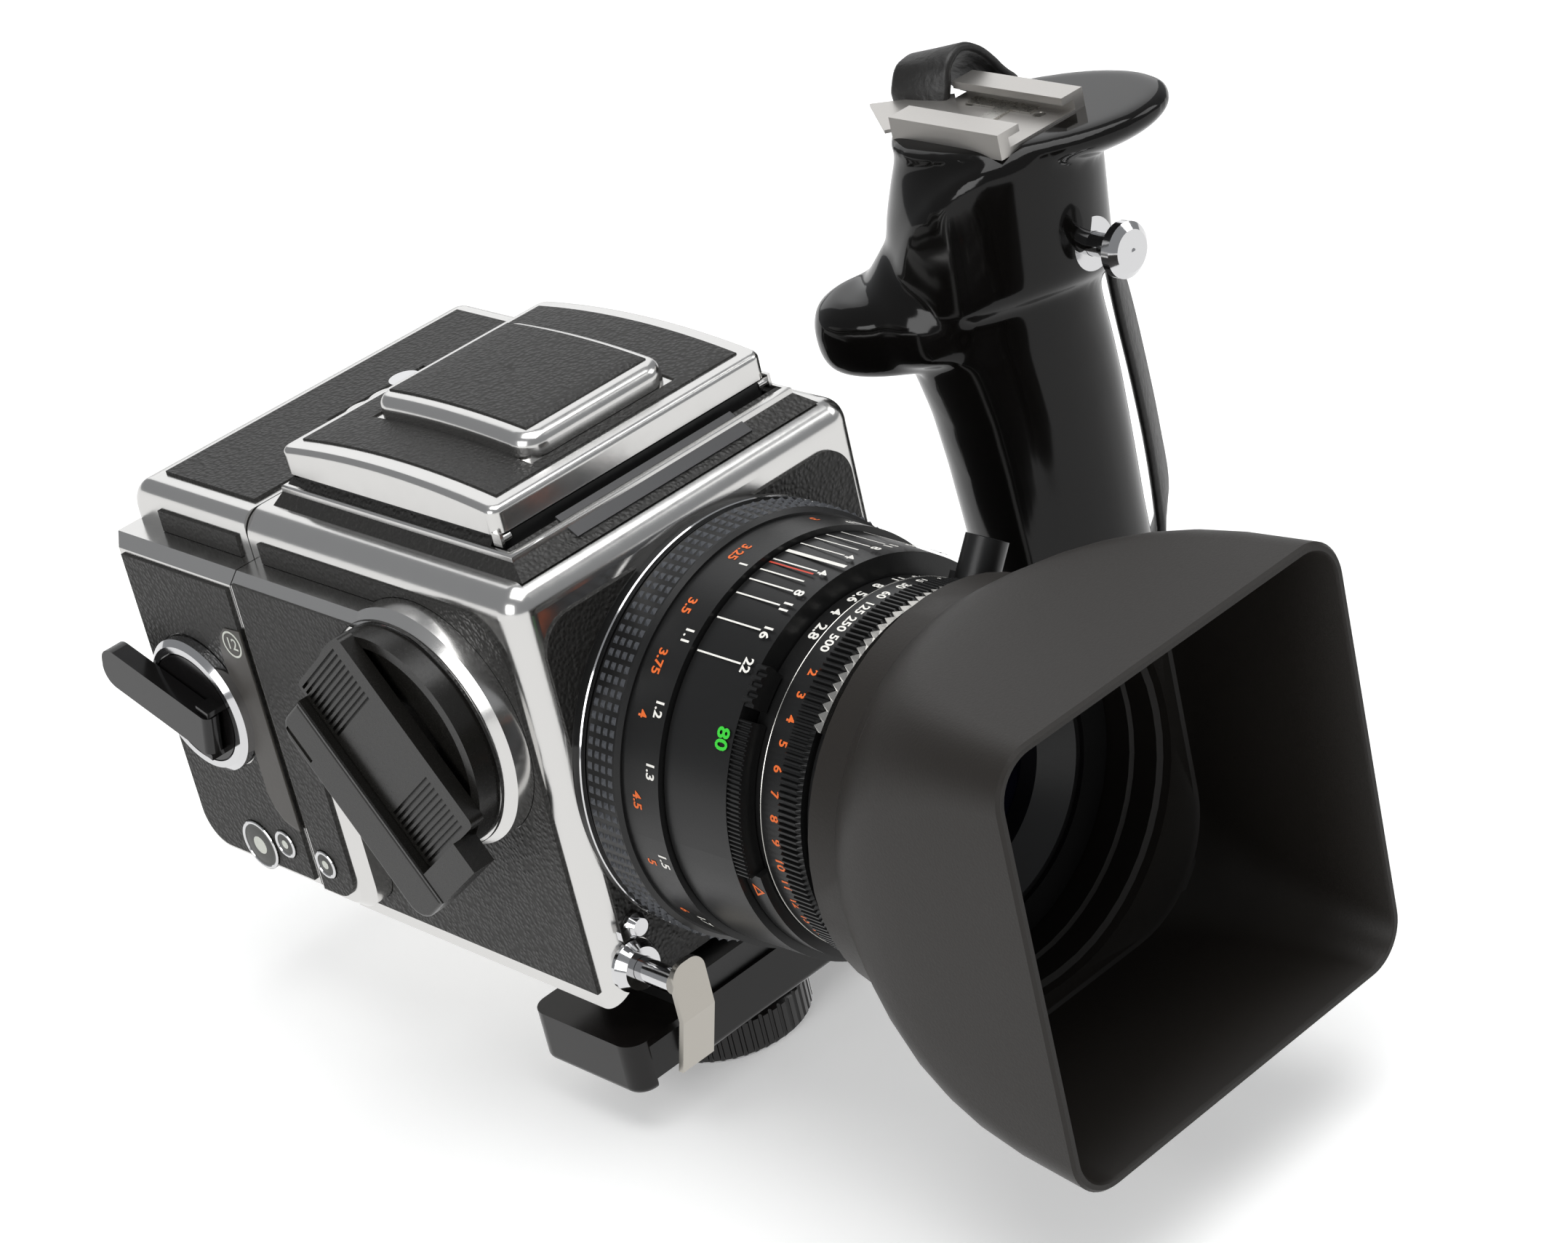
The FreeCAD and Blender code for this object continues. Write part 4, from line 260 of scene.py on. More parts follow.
# Satin nickel: the release arm, bent from thick sheet and plated.
satin_nickel = surface("satin_nickel_plate", {"Base Color": linear("#b4b0a8"), "Metallic": 1.0,
                                              "Roughness": 0.24}, noise(0.004, 0.000003, 0.04))
give("release_arm", satin_nickel)

# Finder lid: a chromed plate, arched from front to rear, with a dome over the folded magnifier. Black
# leatherette is glued on top of the lid and of its dome, inside the bright borders.
MM = 0.001
lid_low, lid_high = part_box("finder_lid")
LID_HALF = 31.75 * MM
LID_MIDDLE_Y = lid_high.y - LID_HALF
DOME_RISE = 4.5 * MM
LID_ARCH = 230 * MM
SIDE_STEPS, LONG_STEPS = 8, 20


def deselect():
    """Leave edit mode and select nothing."""
    if bpy.context.object and bpy.context.object.mode != "OBJECT":
        bpy.ops.object.mode_set(mode="OBJECT")
    bpy.ops.object.select_all(action="DESELECT")


def join(name, things, material, body):
    """Join things into one piece, with one material, that rides on a body."""
    deselect()
    for thing in things:
        thing.select_set(True)
    bpy.context.view_layer.objects.active = things[0]
    if len(things) > 1:
        bpy.ops.object.join()
    whole = bpy.context.object
    bpy.ops.object.transform_apply(location=True, rotation=True, scale=True)
    whole.name = name
    give(whole, material)
    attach(whole, body)
    return whole


def skin(name, rings, closed=False):
    """A skin through rings of points, each extruded from the one before it."""
    deselect()
    bpy.ops.mesh.primitive_circle_add(vertices=len(rings[0]))
    thing = bpy.context.object
    thing.name = name
    bpy.ops.object.mode_set(mode="EDIT")
    order = list(range(len(rings[0])))
    for number, ring in enumerate(rings):
        if number:
            bpy.ops.mesh.extrude_region_move()
        mesh = bmesh.from_edit_mesh(thing.data)
        mesh.verts.ensure_lookup_table()
        if number:
            order = [next(edge.other_vert(mesh.verts[old]).index for edge in mesh.verts[old].link_edges
                          if edge.other_vert(mesh.verts[old]).select) for old in order]
        for index, spot in zip(order, ring):
            mesh.verts[index].co = spot
        bmesh.update_edit_mesh(thing.data)
    bpy.ops.mesh.select_all(action="SELECT")
    if closed:
        bpy.ops.mesh.remove_doubles(threshold=1e-7)
    bpy.ops.mesh.normals_make_consistent(inside=False)
    bpy.ops.object.mode_set(mode="OBJECT")
    return thing


def smooth(thing, angle=30):
    """Shade smooth, but keep edges sharper than an angle in degrees."""
    deselect()
    thing.select_set(True)
    bpy.context.view_layer.objects.active = thing
    bpy.ops.object.shade_smooth_by_angle(angle=radians(angle))
    return thing


def rectangle(left, right, front, rear, height):
    """Points round a rectangle in millimetres from the lid's middle, lifted to a height."""
    corners = [Vector(corner) * MM for corner in ((left, front), (right, front), (right, rear), (left, rear))]
    ring = []
    for number, corner in enumerate(corners):
        after = corners[(number + 1) % 4]
        steps = (SIDE_STEPS, LONG_STEPS)[number % 2]
        ring += [corner.lerp(after, step / steps) for step in range(steps)]
    middle = Vector(((lid_low.x + lid_high.x) / 2, LID_MIDDLE_Y))
    return [Vector((*(middle + spot), height(middle.y + spot.y))) for spot in ring]


def on_lid(rise, lift):
    """The height of the lid's arch, or of the dome's, with a lift off the plate."""
    def height(y):
        radius = LID_ARCH + rise
        return lid_high.z - DOME_RISE + rise - radius + sqrt(radius ** 2 - (y - LID_MIDDLE_Y) ** 2) + lift
    return height


def inlay(name, outer, inner, rise):
    """A thin sheet of leatherette between two rectangles on the arch."""
    rings = []
    for part, lift in ((0, -0.3), (0, 0.2), (0.01, 0.35), (0.2, 0.4), (0.4, 0.4), (0.6, 0.4), (0.8, 0.4),
                       (0.99, 0.35), (1, 0.2), (1, -0.3), (0.5, -0.3), (0, -0.3)):
        sides = [a + (b - a) * part for a, b in zip(outer, inner)]
        rings.append(rectangle(*sides, on_lid(rise, lift * MM)))
    return join(name, [smooth(skin(name, rings, closed=True), 40)], black_leatherette, "finder_lid")


DOME_FOOT = (-18.9, 16.9, -25.9, 20.4)
inlay("lid_leather", (-30.0, 30.4, -28.6, 28.6), DOME_FOOT, 0)
inlay("dome_leather", (-15.6, 14.4, -22.2, 17.6), (-0.6, -0.6, -2, -2), DOME_RISE)

# Finder flange: a bright moulding round the foot of the folding finder, on top of the leather skirt.
# It is plated like the lid.
FLANGE_OUTER, FLANGE_INNER = (-35.3, 35.3, -36.1, 32.2), (-34.2, 34.2, -34.5, 31.0)
FLANGE_DROP = 2.0 * MM
FLANGE_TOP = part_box("finder_frame")[1].z - FLANGE_DROP
rings = []
for part, drop in ((0.9, 0), (0.35, 0), (0.05, 0.2), (0, 0.5), (0, 1.6), (0.9, 1.6), (0.9, 0)):
    sides = [a + (b - a) * part for a, b in zip(FLANGE_OUTER, FLANGE_INNER)]
    rings.append(rectangle(*sides, lambda y: FLANGE_TOP - drop * MM))
flange = smooth(skin("finder_flange", rings, closed=True), 50)
join("finder_flange", [flange], satin_chrome, "camera")

# Windows and signs on the crank side: two round windows in the magazine and one in the body, each in
# a polished rim, and a dark plate along the joint with a small disc for the number of frames.
SIDE_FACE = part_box("magazine_leather")[0].x
BODY_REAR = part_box("body_shell")[1].y
FOOT_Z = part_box("body_shell")[0].z
ROUND_POINTS = 48


def on_side(back, height, out):
    """A point on the crank side in millimetres: behind the joint, above the foot and out of the leather."""
    return Vector((SIDE_FACE - out * MM, BODY_REAR + back * MM, FOOT_Z + height * MM))


def capped(name, rings):
    """A closed lump through rings."""
    lump = skin(name, rings)
    bpy.ops.object.mode_set(mode="EDIT")
    bpy.ops.mesh.select_all(action="SELECT")
    bpy.ops.mesh.fill_holes(sides=0)
    bpy.ops.mesh.normals_make_consistent(inside=False)
    bpy.ops.object.mode_set(mode="OBJECT")
    return lump


def round_side(back, height, outline):
    """Rings about an axis square to the crank side, for (radius, out) pairs in millimetres."""
    return [[on_side(back + radius * cos(2 * pi * n / ROUND_POINTS),
                     height + radius * sin(2 * pi * n / ROUND_POINTS), out) for n in range(ROUND_POINTS)]
            for radius, out in outline]


# Place behind the joint and above the foot, radius, and the body that the window rides on.
WINDOWS = {"status": (-4.7, 15.3, 3.1, "camera"), "film": (8.0, 16.3, 3.1, "magazine"),
           "counter": (17.5, 13.4, 5.5, "magazine")}
RIM_WIDTH = 0.9
# Dark glass: smoked and polished, over black paper.
dark_glass = surface("smoked_window_glass", {"Base Color": linear("#22241f"), "Roughness": 0.08},
                     noise(0.004, 0.000002, 0.03))
# Signal enamel: matt off-white, drawn on the face of the glass so that it shows.
signal_white = surface("signal_white_enamel", {"Base Color": linear("#c9cbc2"), "Roughness": 0.45},
                       noise(0.0005, 0.000004, 0.05))
for name, (back, height, radius, body) in WINDOWS.items():
    inner = radius - RIM_WIDTH
    rim = skin(f"{name}_rim", round_side(back, height, (
        (radius, -0.2), (radius, 0.25), (radius - 0.2, 0.45), (inner + 0.3, 0.45), (inner, 0.2),
        (inner, -0.2), (radius, -0.2))), closed=True)
    join(f"{name}_rim", [smooth(rim)], bright_chrome, body)
    pane = capped(f"{name}_pane", round_side(back, height, (
        (inner + 0.1, -0.1), (inner, 0.22), (inner - 0.5, 0.3), (inner * 0.5, 0.34))))
    join(f"{name}_pane", [smooth(pane, 50)], dark_glass, body)
    spot = capped(f"{name}_signal", round_side(back, height, ((inner * 0.45, 0.3), (inner * 0.42, 0.37),
                                                              (inner * 0.2, 0.38))))
    join(f"{name}_signal", [smooth(spot)], signal_white, body)
for glass in ("windows", "status_window"):
    give(glass, dark_glass)

# Distances behind the joint and above the foot, from the top round to the bottom.
PLATE = ((0.9, 66.4), (6.0, 66.0), (7.7, 64.5), (8.8, 62.6), (9.5, 60.2), (9.4, 57.0), (8.6, 47.2),
         (8.6, 39.9), (8.7, 28.0), (7.6, 24.9), (5.5, 22.4), (2.4, 21.3), (0.9, 21.3))
PLATE_MIDDLE = (4.6, 45.0)
# Dark enamel: sprayed grey-brown, satin.
dark_enamel = surface("dark_satin_enamel", {"Base Color": linear("#3a3733"), "Roughness": 0.38},
                      noise(0.0008, 0.00001, 0.05))
sides = []
for part, out in ((0, -0.1), (0, 0.22), (0.03, 0.3), (0.5, 0.3)):
    sides.append([on_side(back + (PLATE_MIDDLE[0] - back) * part,
                          height + (PLATE_MIDDLE[1] - height) * part, out) for back, height in PLATE])
join("number_plate", [capped("number_plate", sides)], dark_enamel, "magazine")
NUMBER_SPOT = (4.5, 62.8)
NUMBER_OUT = 0.36
DIGIT_SIZE = 3.6 * MM
DIGIT_WEIGHT = 0.04 * MM
disc = skin("number_ring", round_side(*NUMBER_SPOT, (
    (2.9, 0.28), (2.9, NUMBER_OUT), (2.5, NUMBER_OUT), (2.5, 0.28), (2.9, 0.28))), closed=True)
bpy.ops.object.text_add(location=(0, 0, 0))
digits = bpy.context.object
digits.data.body = "12"
digits.data.size = DIGIT_SIZE
digits.data.align_x = "CENTER"
digits.data.align_y = "CENTER"
digits.data.offset = DIGIT_WEIGHT
bpy.ops.object.convert(target="MESH")
for vertex in digits.data.vertices:
    vertex.co = on_side(NUMBER_SPOT[0] - vertex.co.x / MM, NUMBER_SPOT[1] + vertex.co.y / MM, NUMBER_OUT)
join("number_sign", [disc, digits], signal_white, "magazine")

# Magazine latch: an oval plate with pressed ribs across it, and a polished button that slides in it.
# The plate is in one with the magazine's shell; its ribs are drawn here.
LATCH_RIBS = 8
RIB_RADIUS, RIB_LENGTH = 0.35 * MM, 5.4 * MM
RIB_START, RIB_PITCH = 5.0, 1.25
RIB_RISE = 0.62 * MM
magazine_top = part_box("magazine_leather")[1].z
latch_low, latch_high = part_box("magazine_latch")
latch_middle = (latch_low + latch_high) / 2
ribs = []
for number in range(LATCH_RIBS):
    deselect()
    bpy.ops.mesh.primitive_cylinder_add(vertices=10, radius=RIB_RADIUS, depth=RIB_LENGTH)
    rib = bpy.context.object
    bpy.ops.object.mode_set(mode="EDIT")
    bpy.ops.transform.rotate(value=pi / 2, orient_axis="X")
    bpy.ops.transform.translate(value=(latch_middle.x - (RIB_START + RIB_PITCH * number) * MM,
                                       latch_middle.y, magazine_top + RIB_RISE))
    bpy.ops.object.mode_set(mode="OBJECT")
    ribs.append(smooth(rib, 50))
join("latch_ribs", ribs, satin_chrome, "magazine")

# Winding crank: a dished disc with a broad bar across it, ribbed at both ends for the fingers, and a
# long lever folded beside the bar. All three are black mouldings; a steel tongue shows in the lever.
# Satin moulding: black plastic worn smooth by hands.
satin_black = surface("satin_black_moulding", {"Base Color": linear("#171614"), "Roughness": 0.26,
                                               "Specular IOR Level": 0.38}, noise(0.0007, 0.00001, 0.06))
for moulded in ("winding_disc", "winding_bar", "winding_lever", "supply_spool", "takeup_spool"):
    give(moulded, satin_black)
CRANK_BACK, CRANK_HEIGHT = -49.4, 57.0
CRANK_TILT = radians(50.7)


def on_crank(along, across, out):
    """A point on the crank in millimetres: along the bar, up across it, and out of the leather."""
    return on_side(CRANK_BACK + along * cos(CRANK_TILT) - across * sin(CRANK_TILT),
                   CRANK_HEIGHT + along * sin(CRANK_TILT) + across * cos(CRANK_TILT), out)


TONGUE = ((9.0, -21.15), (16.5, -21.15), (16.5, -20.05), (9.0, -20.05))
TONGUE_OUT = (6.0, 9.6)
tongue = capped("lever_tongue", [[on_crank(along, across, out) for along, across in TONGUE]
                                 for out in TONGUE_OUT])
join("lever_tongue", [tongue], brushed_steel, "winding_lever")
# Red enamel: filled into one drilled mark.
red_enamel = surface("red_enamel", {"Base Color": linear("#c23a22"), "Roughness": 0.35},
                     noise(0.0005, 0.000004, 0.05))
MARK_SPOT = (-48.1, 78.3)
mark = capped("crank_mark", round_side(*MARK_SPOT, ((0.95, -0.9), (0.95, -0.45), (0.7, -0.3), (0.3, -0.26))))
join("crank_mark", [smooth(mark, 60)], red_enamel, "camera")

# Film crank: a small dished disc in a polished ring, with a folding lever, moulded glossy black.
# Gloss moulding: black plastic straight from a polished mould.
gloss_black = surface("glossy_black_moulding", {"Base Color": linear("#0f0e0e"), "Roughness": 0.14},
                      noise(0.006, 0.000004, 0.03))
for moulded in ("film_crank_disc", "film_crank_lever"):
    give(moulded, gloss_black)

# Lens barrel: black anodised aluminium tubes, turned and finely blasted, that hold the glass and
# carry the rings. White lines, one red line and the numbers are engraved and filled with paint.
focus_low, focus_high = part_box("focus_ring")
AXIS_X = (focus_low.x + focus_high.x) / 2
AXIS_Z = (focus_low.z + focus_high.z) / 2
BODY_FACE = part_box("body_shell")[0].y
# Black anodising over a fine blast: dull, with a soft sheen.
black_anodised = surface("blasted_black_anodising", {"Base Color": linear("#171717"), "Metallic": 0.2,
                                                     "Roughness": 0.34}, noise(0.0005, 0.00001, 0.06))
for black in ("lens_barrel", "focus_ring", "aperture_ring", "front_bezel", "preview_slider", "sync_socket"):
    give(black, black_anodised)


def round_lens(theta, radius, ahead):
    """A point at an angle from the top towards the crank side, and so far ahead of the body's face."""
    return Vector((AXIS_X - sin(theta) * radius, BODY_FACE - ahead, AXIS_Z + cos(theta) * radius))


def wrap(thing, theta, radius, ahead):
    """Bend a flat mesh round the lens: its X runs round the ring and its Y to the front."""
    for vertex in thing.data.vertices:
        spot = vertex.co.copy()
        vertex.co = round_lens(theta + spot.x / radius, radius, ahead + spot.y)
    return thing


STROKE_WEIGHT = 0.025
CURVE_STEPS = 3
PAINT_RISE = 0.06 * MM


def ring_words(name, words, radius, ahead, size, material, body):
    """Numbers round a ring, each at its own angle in degrees, read from behind the camera."""
    signs = []
    for degree, word in words:
        deselect()
        bpy.ops.object.text_add(location=(0, 0, 0))
        sign = bpy.context.object
        sign.data.body = word
        sign.data.size = size
        sign.data.align_x = "CENTER"
        sign.data.align_y = "CENTER"
        sign.data.offset = size * STROKE_WEIGHT
        sign.data.resolution_u = CURVE_STEPS
        bpy.ops.object.convert(target="MESH")
        signs.append(wrap(sign, radians(degree), radius + PAINT_RISE, ahead))
    return join(name, signs, material, body)


def ring_lines(name, degrees_of, radius, low, high, width, material, body):
    """Straight lines along the lens, side by side round a ring."""
    lines = []
    for degree in degrees_of:
        deselect()
        bpy.ops.mesh.primitive_plane_add(size=1, location=(0, 0, 0))
        line = bpy.context.object
        bpy.ops.object.mode_set(mode="EDIT")
        bpy.ops.transform.resize(value=(width, high - low, 1))
        bpy.ops.mesh.subdivide(number_cuts=2)
        bpy.ops.object.mode_set(mode="OBJECT")
        lines.append(wrap(line, radians(degree), radius + PAINT_RISE, (low + high) / 2))
    return join(name, lines, material, body)


# Engraving paint: matt, wiped into the cuts.
fills = {name: surface(f"{name}_engraving_paint", {"Base Color": linear(colour), "Roughness": 0.5},
                       noise(0.0004, 0.000005, 0.05))
         for name, colour in (("white", "#e8e6e0"), ("orange", "#e0692a"), ("green", "#37c837"),
                              ("red", "#c2402c"))}
DISTANCE_RADIUS = 39.5 * MM
DEPTH_RADIUS = 38.3 * MM
FEET_AHEAD = 16.2 * MM
METRES_AHEAD = 19.9 * MM
LINE_START, LINE_END = 22.7 * MM, 33.9 * MM
DEPTH_WORDS_AHEAD = 35.3 * MM
INDEX_DEGREE, RED_DEGREE, FOCAL_DEGREE = -2.7, 3.9, 56.5
INDEX_END = 37.7 * MM
STOP_LINE, INDEX_LINE, RED_LINE = 0.34 * MM, 0.9 * MM, 0.4 * MM
NUMBER_SIZE, DEPTH_SIZE, FOCAL_SIZE = 2.9 * MM, 3.0 * MM, 4.2 * MM
FOCAL_RADIUS = DEPTH_RADIUS - 0.3 * MM
# Angles round the ring in degrees, and the number that stands there.
ring_words("feet_scale", ((-21.7, "3"), (5.4, "3.25"), (26.1, "3.5"), (42.5, "3.75"), (56.6, "4"),
                          (79.7, "4.5"), (98.4, "5"), (118, "6"), (135, "7"), (160, "10"), (182, "15"),
                          (203, "30")),
           DISTANCE_RADIUS, FEET_AHEAD, NUMBER_SIZE, fills["orange"], "focus_ring")
ring_words("metre_scale", ((-30.8, "0.9"), (9.3, "1"), (34, "1.1"), (54.1, "1.2"), (70.5, "1.3"),
                           (96.6, "1.5"), (120.9, "1.7"), (141, "2"), (170, "3"), (192, "5"), (212, "10")),
           DISTANCE_RADIUS, METRES_AHEAD, NUMBER_SIZE, fills["white"], "focus_ring")
STOPS = ((5.1, "4"), (10.2, ""), (14.5, "8"), (20.0, "11"), (28.7, "16"), (39.1, "22"))
stop_lines = [INDEX_DEGREE + side * turn for turn, _ in STOPS for side in (1, -1)]
ring_lines("depth_lines", stop_lines, DEPTH_RADIUS, LINE_START, LINE_END, STOP_LINE, fills["white"],
           "lens_head")
ring_lines("index_line", [INDEX_DEGREE], DEPTH_RADIUS, LINE_START, INDEX_END, INDEX_LINE, fills["white"],
           "lens_head")
ring_lines("red_line", [RED_DEGREE], DEPTH_RADIUS, LINE_START, LINE_END, RED_LINE, fills["red"], "lens_head")
ring_words("depth_numbers",
           [(INDEX_DEGREE + side * turn, word) for turn, word in STOPS if word for side in (1, -1)],
           DEPTH_RADIUS, DEPTH_WORDS_AHEAD, DEPTH_SIZE, fills["white"], "lens_head")
ring_words("focal_number", [(FOCAL_DEGREE, "80")], FOCAL_RADIUS, DEPTH_WORDS_AHEAD, FOCAL_SIZE, fills["green"],
           "lens_head")

# Distance grip: the knurled band of the focus ring, with small pyramids rolled into the aluminium, and
# the bright edge of the mount behind it. The pyramids' count and height are given here.


RING_POINTS = 160


def lathe(name, outline):
    """Rings about the lens axis for (radius, ahead) pairs in millimetres."""
    return skin(name, [[round_lens(2 * pi * n / RING_POINTS, radius * MM, ahead * MM)
                        for n in range(RING_POINTS)] for radius, ahead in outline], closed=True)


bright_edge = lathe("mount_edge", (
    (40.1, 2.6), (41.0, 2.6), (41.25, 2.85), (41.1, 3.15), (40.1, 3.15), (40.1, 2.6)))
join("mount_edge", [smooth(bright_edge)], bright_chrome, "camera")
PYRAMIDS, ROWS = 110, 4
KNURL_LOW, KNURL_HIGH = 4.4 * MM, 11.6 * MM
KNURL_FOOT, KNURL_RISE = 40.4 * MM, 1.0 * MM
rings = []
for row in range(ROWS + 1):
    ahead = KNURL_LOW + (KNURL_HIGH - KNURL_LOW) * row / ROWS
    rings.append([round_lens(2 * pi * n / PYRAMIDS, KNURL_FOOT, ahead) for n in range(PYRAMIDS)])
knurl = skin("distance_grip", rings)
bpy.ops.object.mode_set(mode="EDIT")
bpy.ops.mesh.select_all(action="SELECT")
bpy.ops.mesh.poke(offset=KNURL_RISE)
bpy.ops.object.mode_set(mode="OBJECT")
# Rubbed anodising: the points of the grip are worn grey.
rubbed_anodising = surface("rubbed_black_anodising", {"Base Color": linear("#4a4c50"), "Metallic": 0.4,
                                                      "Roughness": 0.45}, noise(0.0006, 0.00001, 0.08))
give(knurl, rubbed_anodising)
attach(knurl, "focus_ring")

# Aperture and shutter rings: turned rings with paint-filled numbers; the front half of the shutter
# ring is fluted for the fingers, and bright coupling teeth show beside it.
APERTURE_RADIUS, APERTURE_AHEAD, APERTURE_SIZE = 33.5 * MM, 40.3 * MM, 3.1 * MM
SHUTTER_RADIUS, SPEED_AHEAD, VALUE_AHEAD, SPEED_SIZE = 34.2 * MM, 45.4 * MM, 46.2 * MM, 2.7 * MM
APERTURES = ("2.8", "4", "5.6", "8", "11", "16", "22")
ring_words("aperture_numbers", [(17 - 9 * n, word) for n, word in enumerate(APERTURES)],
           APERTURE_RADIUS, APERTURE_AHEAD, APERTURE_SIZE, fills["white"], "aperture_ring")
SPEEDS = ("500", "250", "125", "60", "30", "15", "8", "4", "2", "1", "B")
ring_words("speed_numbers", [(20.3 - 8.1 * n, word) for n, word in enumerate(SPEEDS)],
           SHUTTER_RADIUS, SPEED_AHEAD, SPEED_SIZE, fills["white"], "shutter_ring")
ring_words("light_values", [(30.9 + 7.45 * n, str(n + 2)) for n in range(16)],
           SHUTTER_RADIUS, VALUE_AHEAD, SPEED_SIZE, fills["orange"], "shutter_ring")
FLUTES = 190
FLUTE_DEPTH = 0.7 * MM
flute_angles = [2 * pi * (n + part) / FLUTES for n in range(FLUTES) for part in (0, 0.2, 0.5, 0.7)]


def fluted(radius, ahead, depth):
    """A ring in millimetres whose points step in and out by a depth in metres, four to a flute."""
    return [round_lens(angle, radius * MM - (depth if n % 4 in (0, 3) else 0), ahead * MM)
            for n, angle in enumerate(flute_angles)]


flute_rings = [fluted(*row) for row in (
    (31.7, 42.5, 0), (33.9, 42.5, 0), (34.2, 42.8, 0), (34.2, 47.4, 0), (35.0, 47.9, FLUTE_DEPTH),
    (35.0, 52.3, FLUTE_DEPTH), (34.2, 52.9, 0), (31.7, 52.9, 0), (31.7, 42.5, 0))]
speed_ring = skin("fluted_shutter_ring", flute_rings, closed=True)
give(smooth(speed_ring, 25), black_anodised)
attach(speed_ring, "shutter_ring")
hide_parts("shutter_ring")

# A painted highlight: a thin ring of light steel on the edge between the two rings, where the black chamfer
# catches the light; and the steel saw teeth in front of the shutter ring.
edge = lathe("painted_ring_edge_highlight", (
    (33.8, 42.55), (34.25, 42.75), (34.3, 42.85), (34.25, 42.95), (33.8, 43.1), (33.8, 42.55)))
join("painted_ring_edge_highlight", [smooth(edge)], brushed_steel, "shutter_ring")
TEETH, TOOTH_STEPS = 22, 2
TEETH_FROM, TEETH_TO = -22, 47
TOOTH_TIP, TOOTH_ROOT = 53.0, 54.5
tooth_rings = []
for number in range(TEETH * TOOTH_STEPS + 1):
    turn = radians(TEETH_FROM + (TEETH_TO - TEETH_FROM) * number / (TEETH * TOOTH_STEPS))
    reach = TOOTH_TIP if number % TOOTH_STEPS else TOOTH_ROOT
    tooth_rings.append([round_lens(turn, radius * MM, ahead * MM) for radius, ahead in (
        (34.3, 55.0), (35.3, 55.0), (35.4, reach), (34.3, reach))])
join("shutter_teeth", [capped("shutter_teeth", tooth_rings)], brushed_steel, "lens_head")

# Depth preview: a short ribbed block and a long finely ribbed grip beside it that slide together, both
# machined in black anodised aluminium; an orange triangle marks their end.


def ribbed(name, start, end, ribs, low, high, foot, top, depth, body):
    """A strip round the lens whose top steps up and down; distances in millimetres."""
    rings = []
    for number in range(ribs * 4 + 1):
        turn = radians(start + (end - start) * number / (ribs * 4))
        crest = top - (depth if number % 4 in (0, 3) else 0)
        rings.append([round_lens(turn, radius * MM, ahead * MM) for radius, ahead in (
            (foot, low), (crest, low), (crest, high), (foot, high))])
    return join(name, [capped(name, rings)], black_anodised, body)


ribbed("preview_block", 34.5, 46.5, 4, 37.5, 40.1, 34.0, 38.4, 0.9, "preview_slider")
ribbed("preview_grip", 50, 95, 34, 37.0, 40.9, 33.8, 37.6, 0.45, "preview_slider")
SLIDER_RADIUS = 36.2 * MM
TRIANGLE_DEGREE = 100.7
TRIANGLE = ((0, 1.7), (1.5, -0.9), (-1.5, -0.9))
TRIANGLE_INNER = 0.55
bpy.ops.mesh.primitive_circle_add(vertices=3)
triangle = bpy.context.object
bpy.ops.object.mode_set(mode="EDIT")
mesh = bmesh.from_edit_mesh(triangle.data)
for vertex, (across, ahead) in zip(list(mesh.verts), TRIANGLE):
    vertex.co = Vector((across, ahead, 0)) * MM
bmesh.update_edit_mesh(triangle.data)
bpy.ops.mesh.extrude_region_move()
mesh = bmesh.from_edit_mesh(triangle.data)
for vertex in [vertex for vertex in mesh.verts if vertex.select]:
    vertex.co *= TRIANGLE_INNER
bmesh.update_edit_mesh(triangle.data)
bpy.ops.object.mode_set(mode="OBJECT")
slider_low, slider_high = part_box("preview_slider")
wrap(triangle, radians(TRIANGLE_DEGREE), SLIDER_RADIUS + PAINT_RISE,
     BODY_FACE - (slider_low.y + slider_high.y) / 2)
join("preview_mark", [triangle], fills["orange"], "preview_slider")

# Lens glass: the front and rear elements, and the magnifier's lens, ground and coated. They show the
# dark bore behind them.
# Coated glass: the layers give a faint violet reflection.
coated_glass = surface("coated_lens_glass", {"Base Color": linear("#1a1c28"), "Roughness": 0.02,
                                             "Coat Weight": 0.6, "Coat Tint": linear("#8f7bd0")},
                       noise(0.02, 0.000001, 0.005))
for glass in ("front_element", "rear_element", "magnifier_lens"):
    give(glass, coated_glass)

# Hood: one moulding in black ABS with a fine spark texture. A round collar turns on to the lens's rim
# and opens into a rounded square mouth; inside, a flat back wall closes round the glass.
HOOD_START = 58.5 * MM
ARC_POINTS, SIDE_POINTS = 12, 6
# Distance from the collar, half width and corner radius of the outside.
HOOD_OUTSIDE = ((0, 37.6, 37.2), (0.5, 38.2, 37.8), (7.0, 38.2, 37.8), (7.6, 38.6, 37.6), (11, 39.9, 33.0),
                (15, 40.9, 28.0), (20, 41.6, 22.5), (26, 42.0, 17.5), (33, 42.3, 13.5), (42, 42.6, 10.8),
                (56.4, 43.0, 9.0), (57, 42.5, 8.5))
HOOD_INSIDE = ((57, 41.6, 7.6), (56.4, 41.2, 7.2), (42, 40.8, 9.0), (30, 40.4, 12.0), (22, 40.0, 16.0),
               (16.5, 39.6, 21.0), (16.0, 39.0, 22.0), (16.0, 36.2, 35.4), (14.5, 35.8, 35.2),
               (14.0, 34.6, 34.0), (9.0, 34.2, 33.6), (8.6, 33.4, 33.1), (0, 33.4, 33.1), (0, 37.6, 37.2))


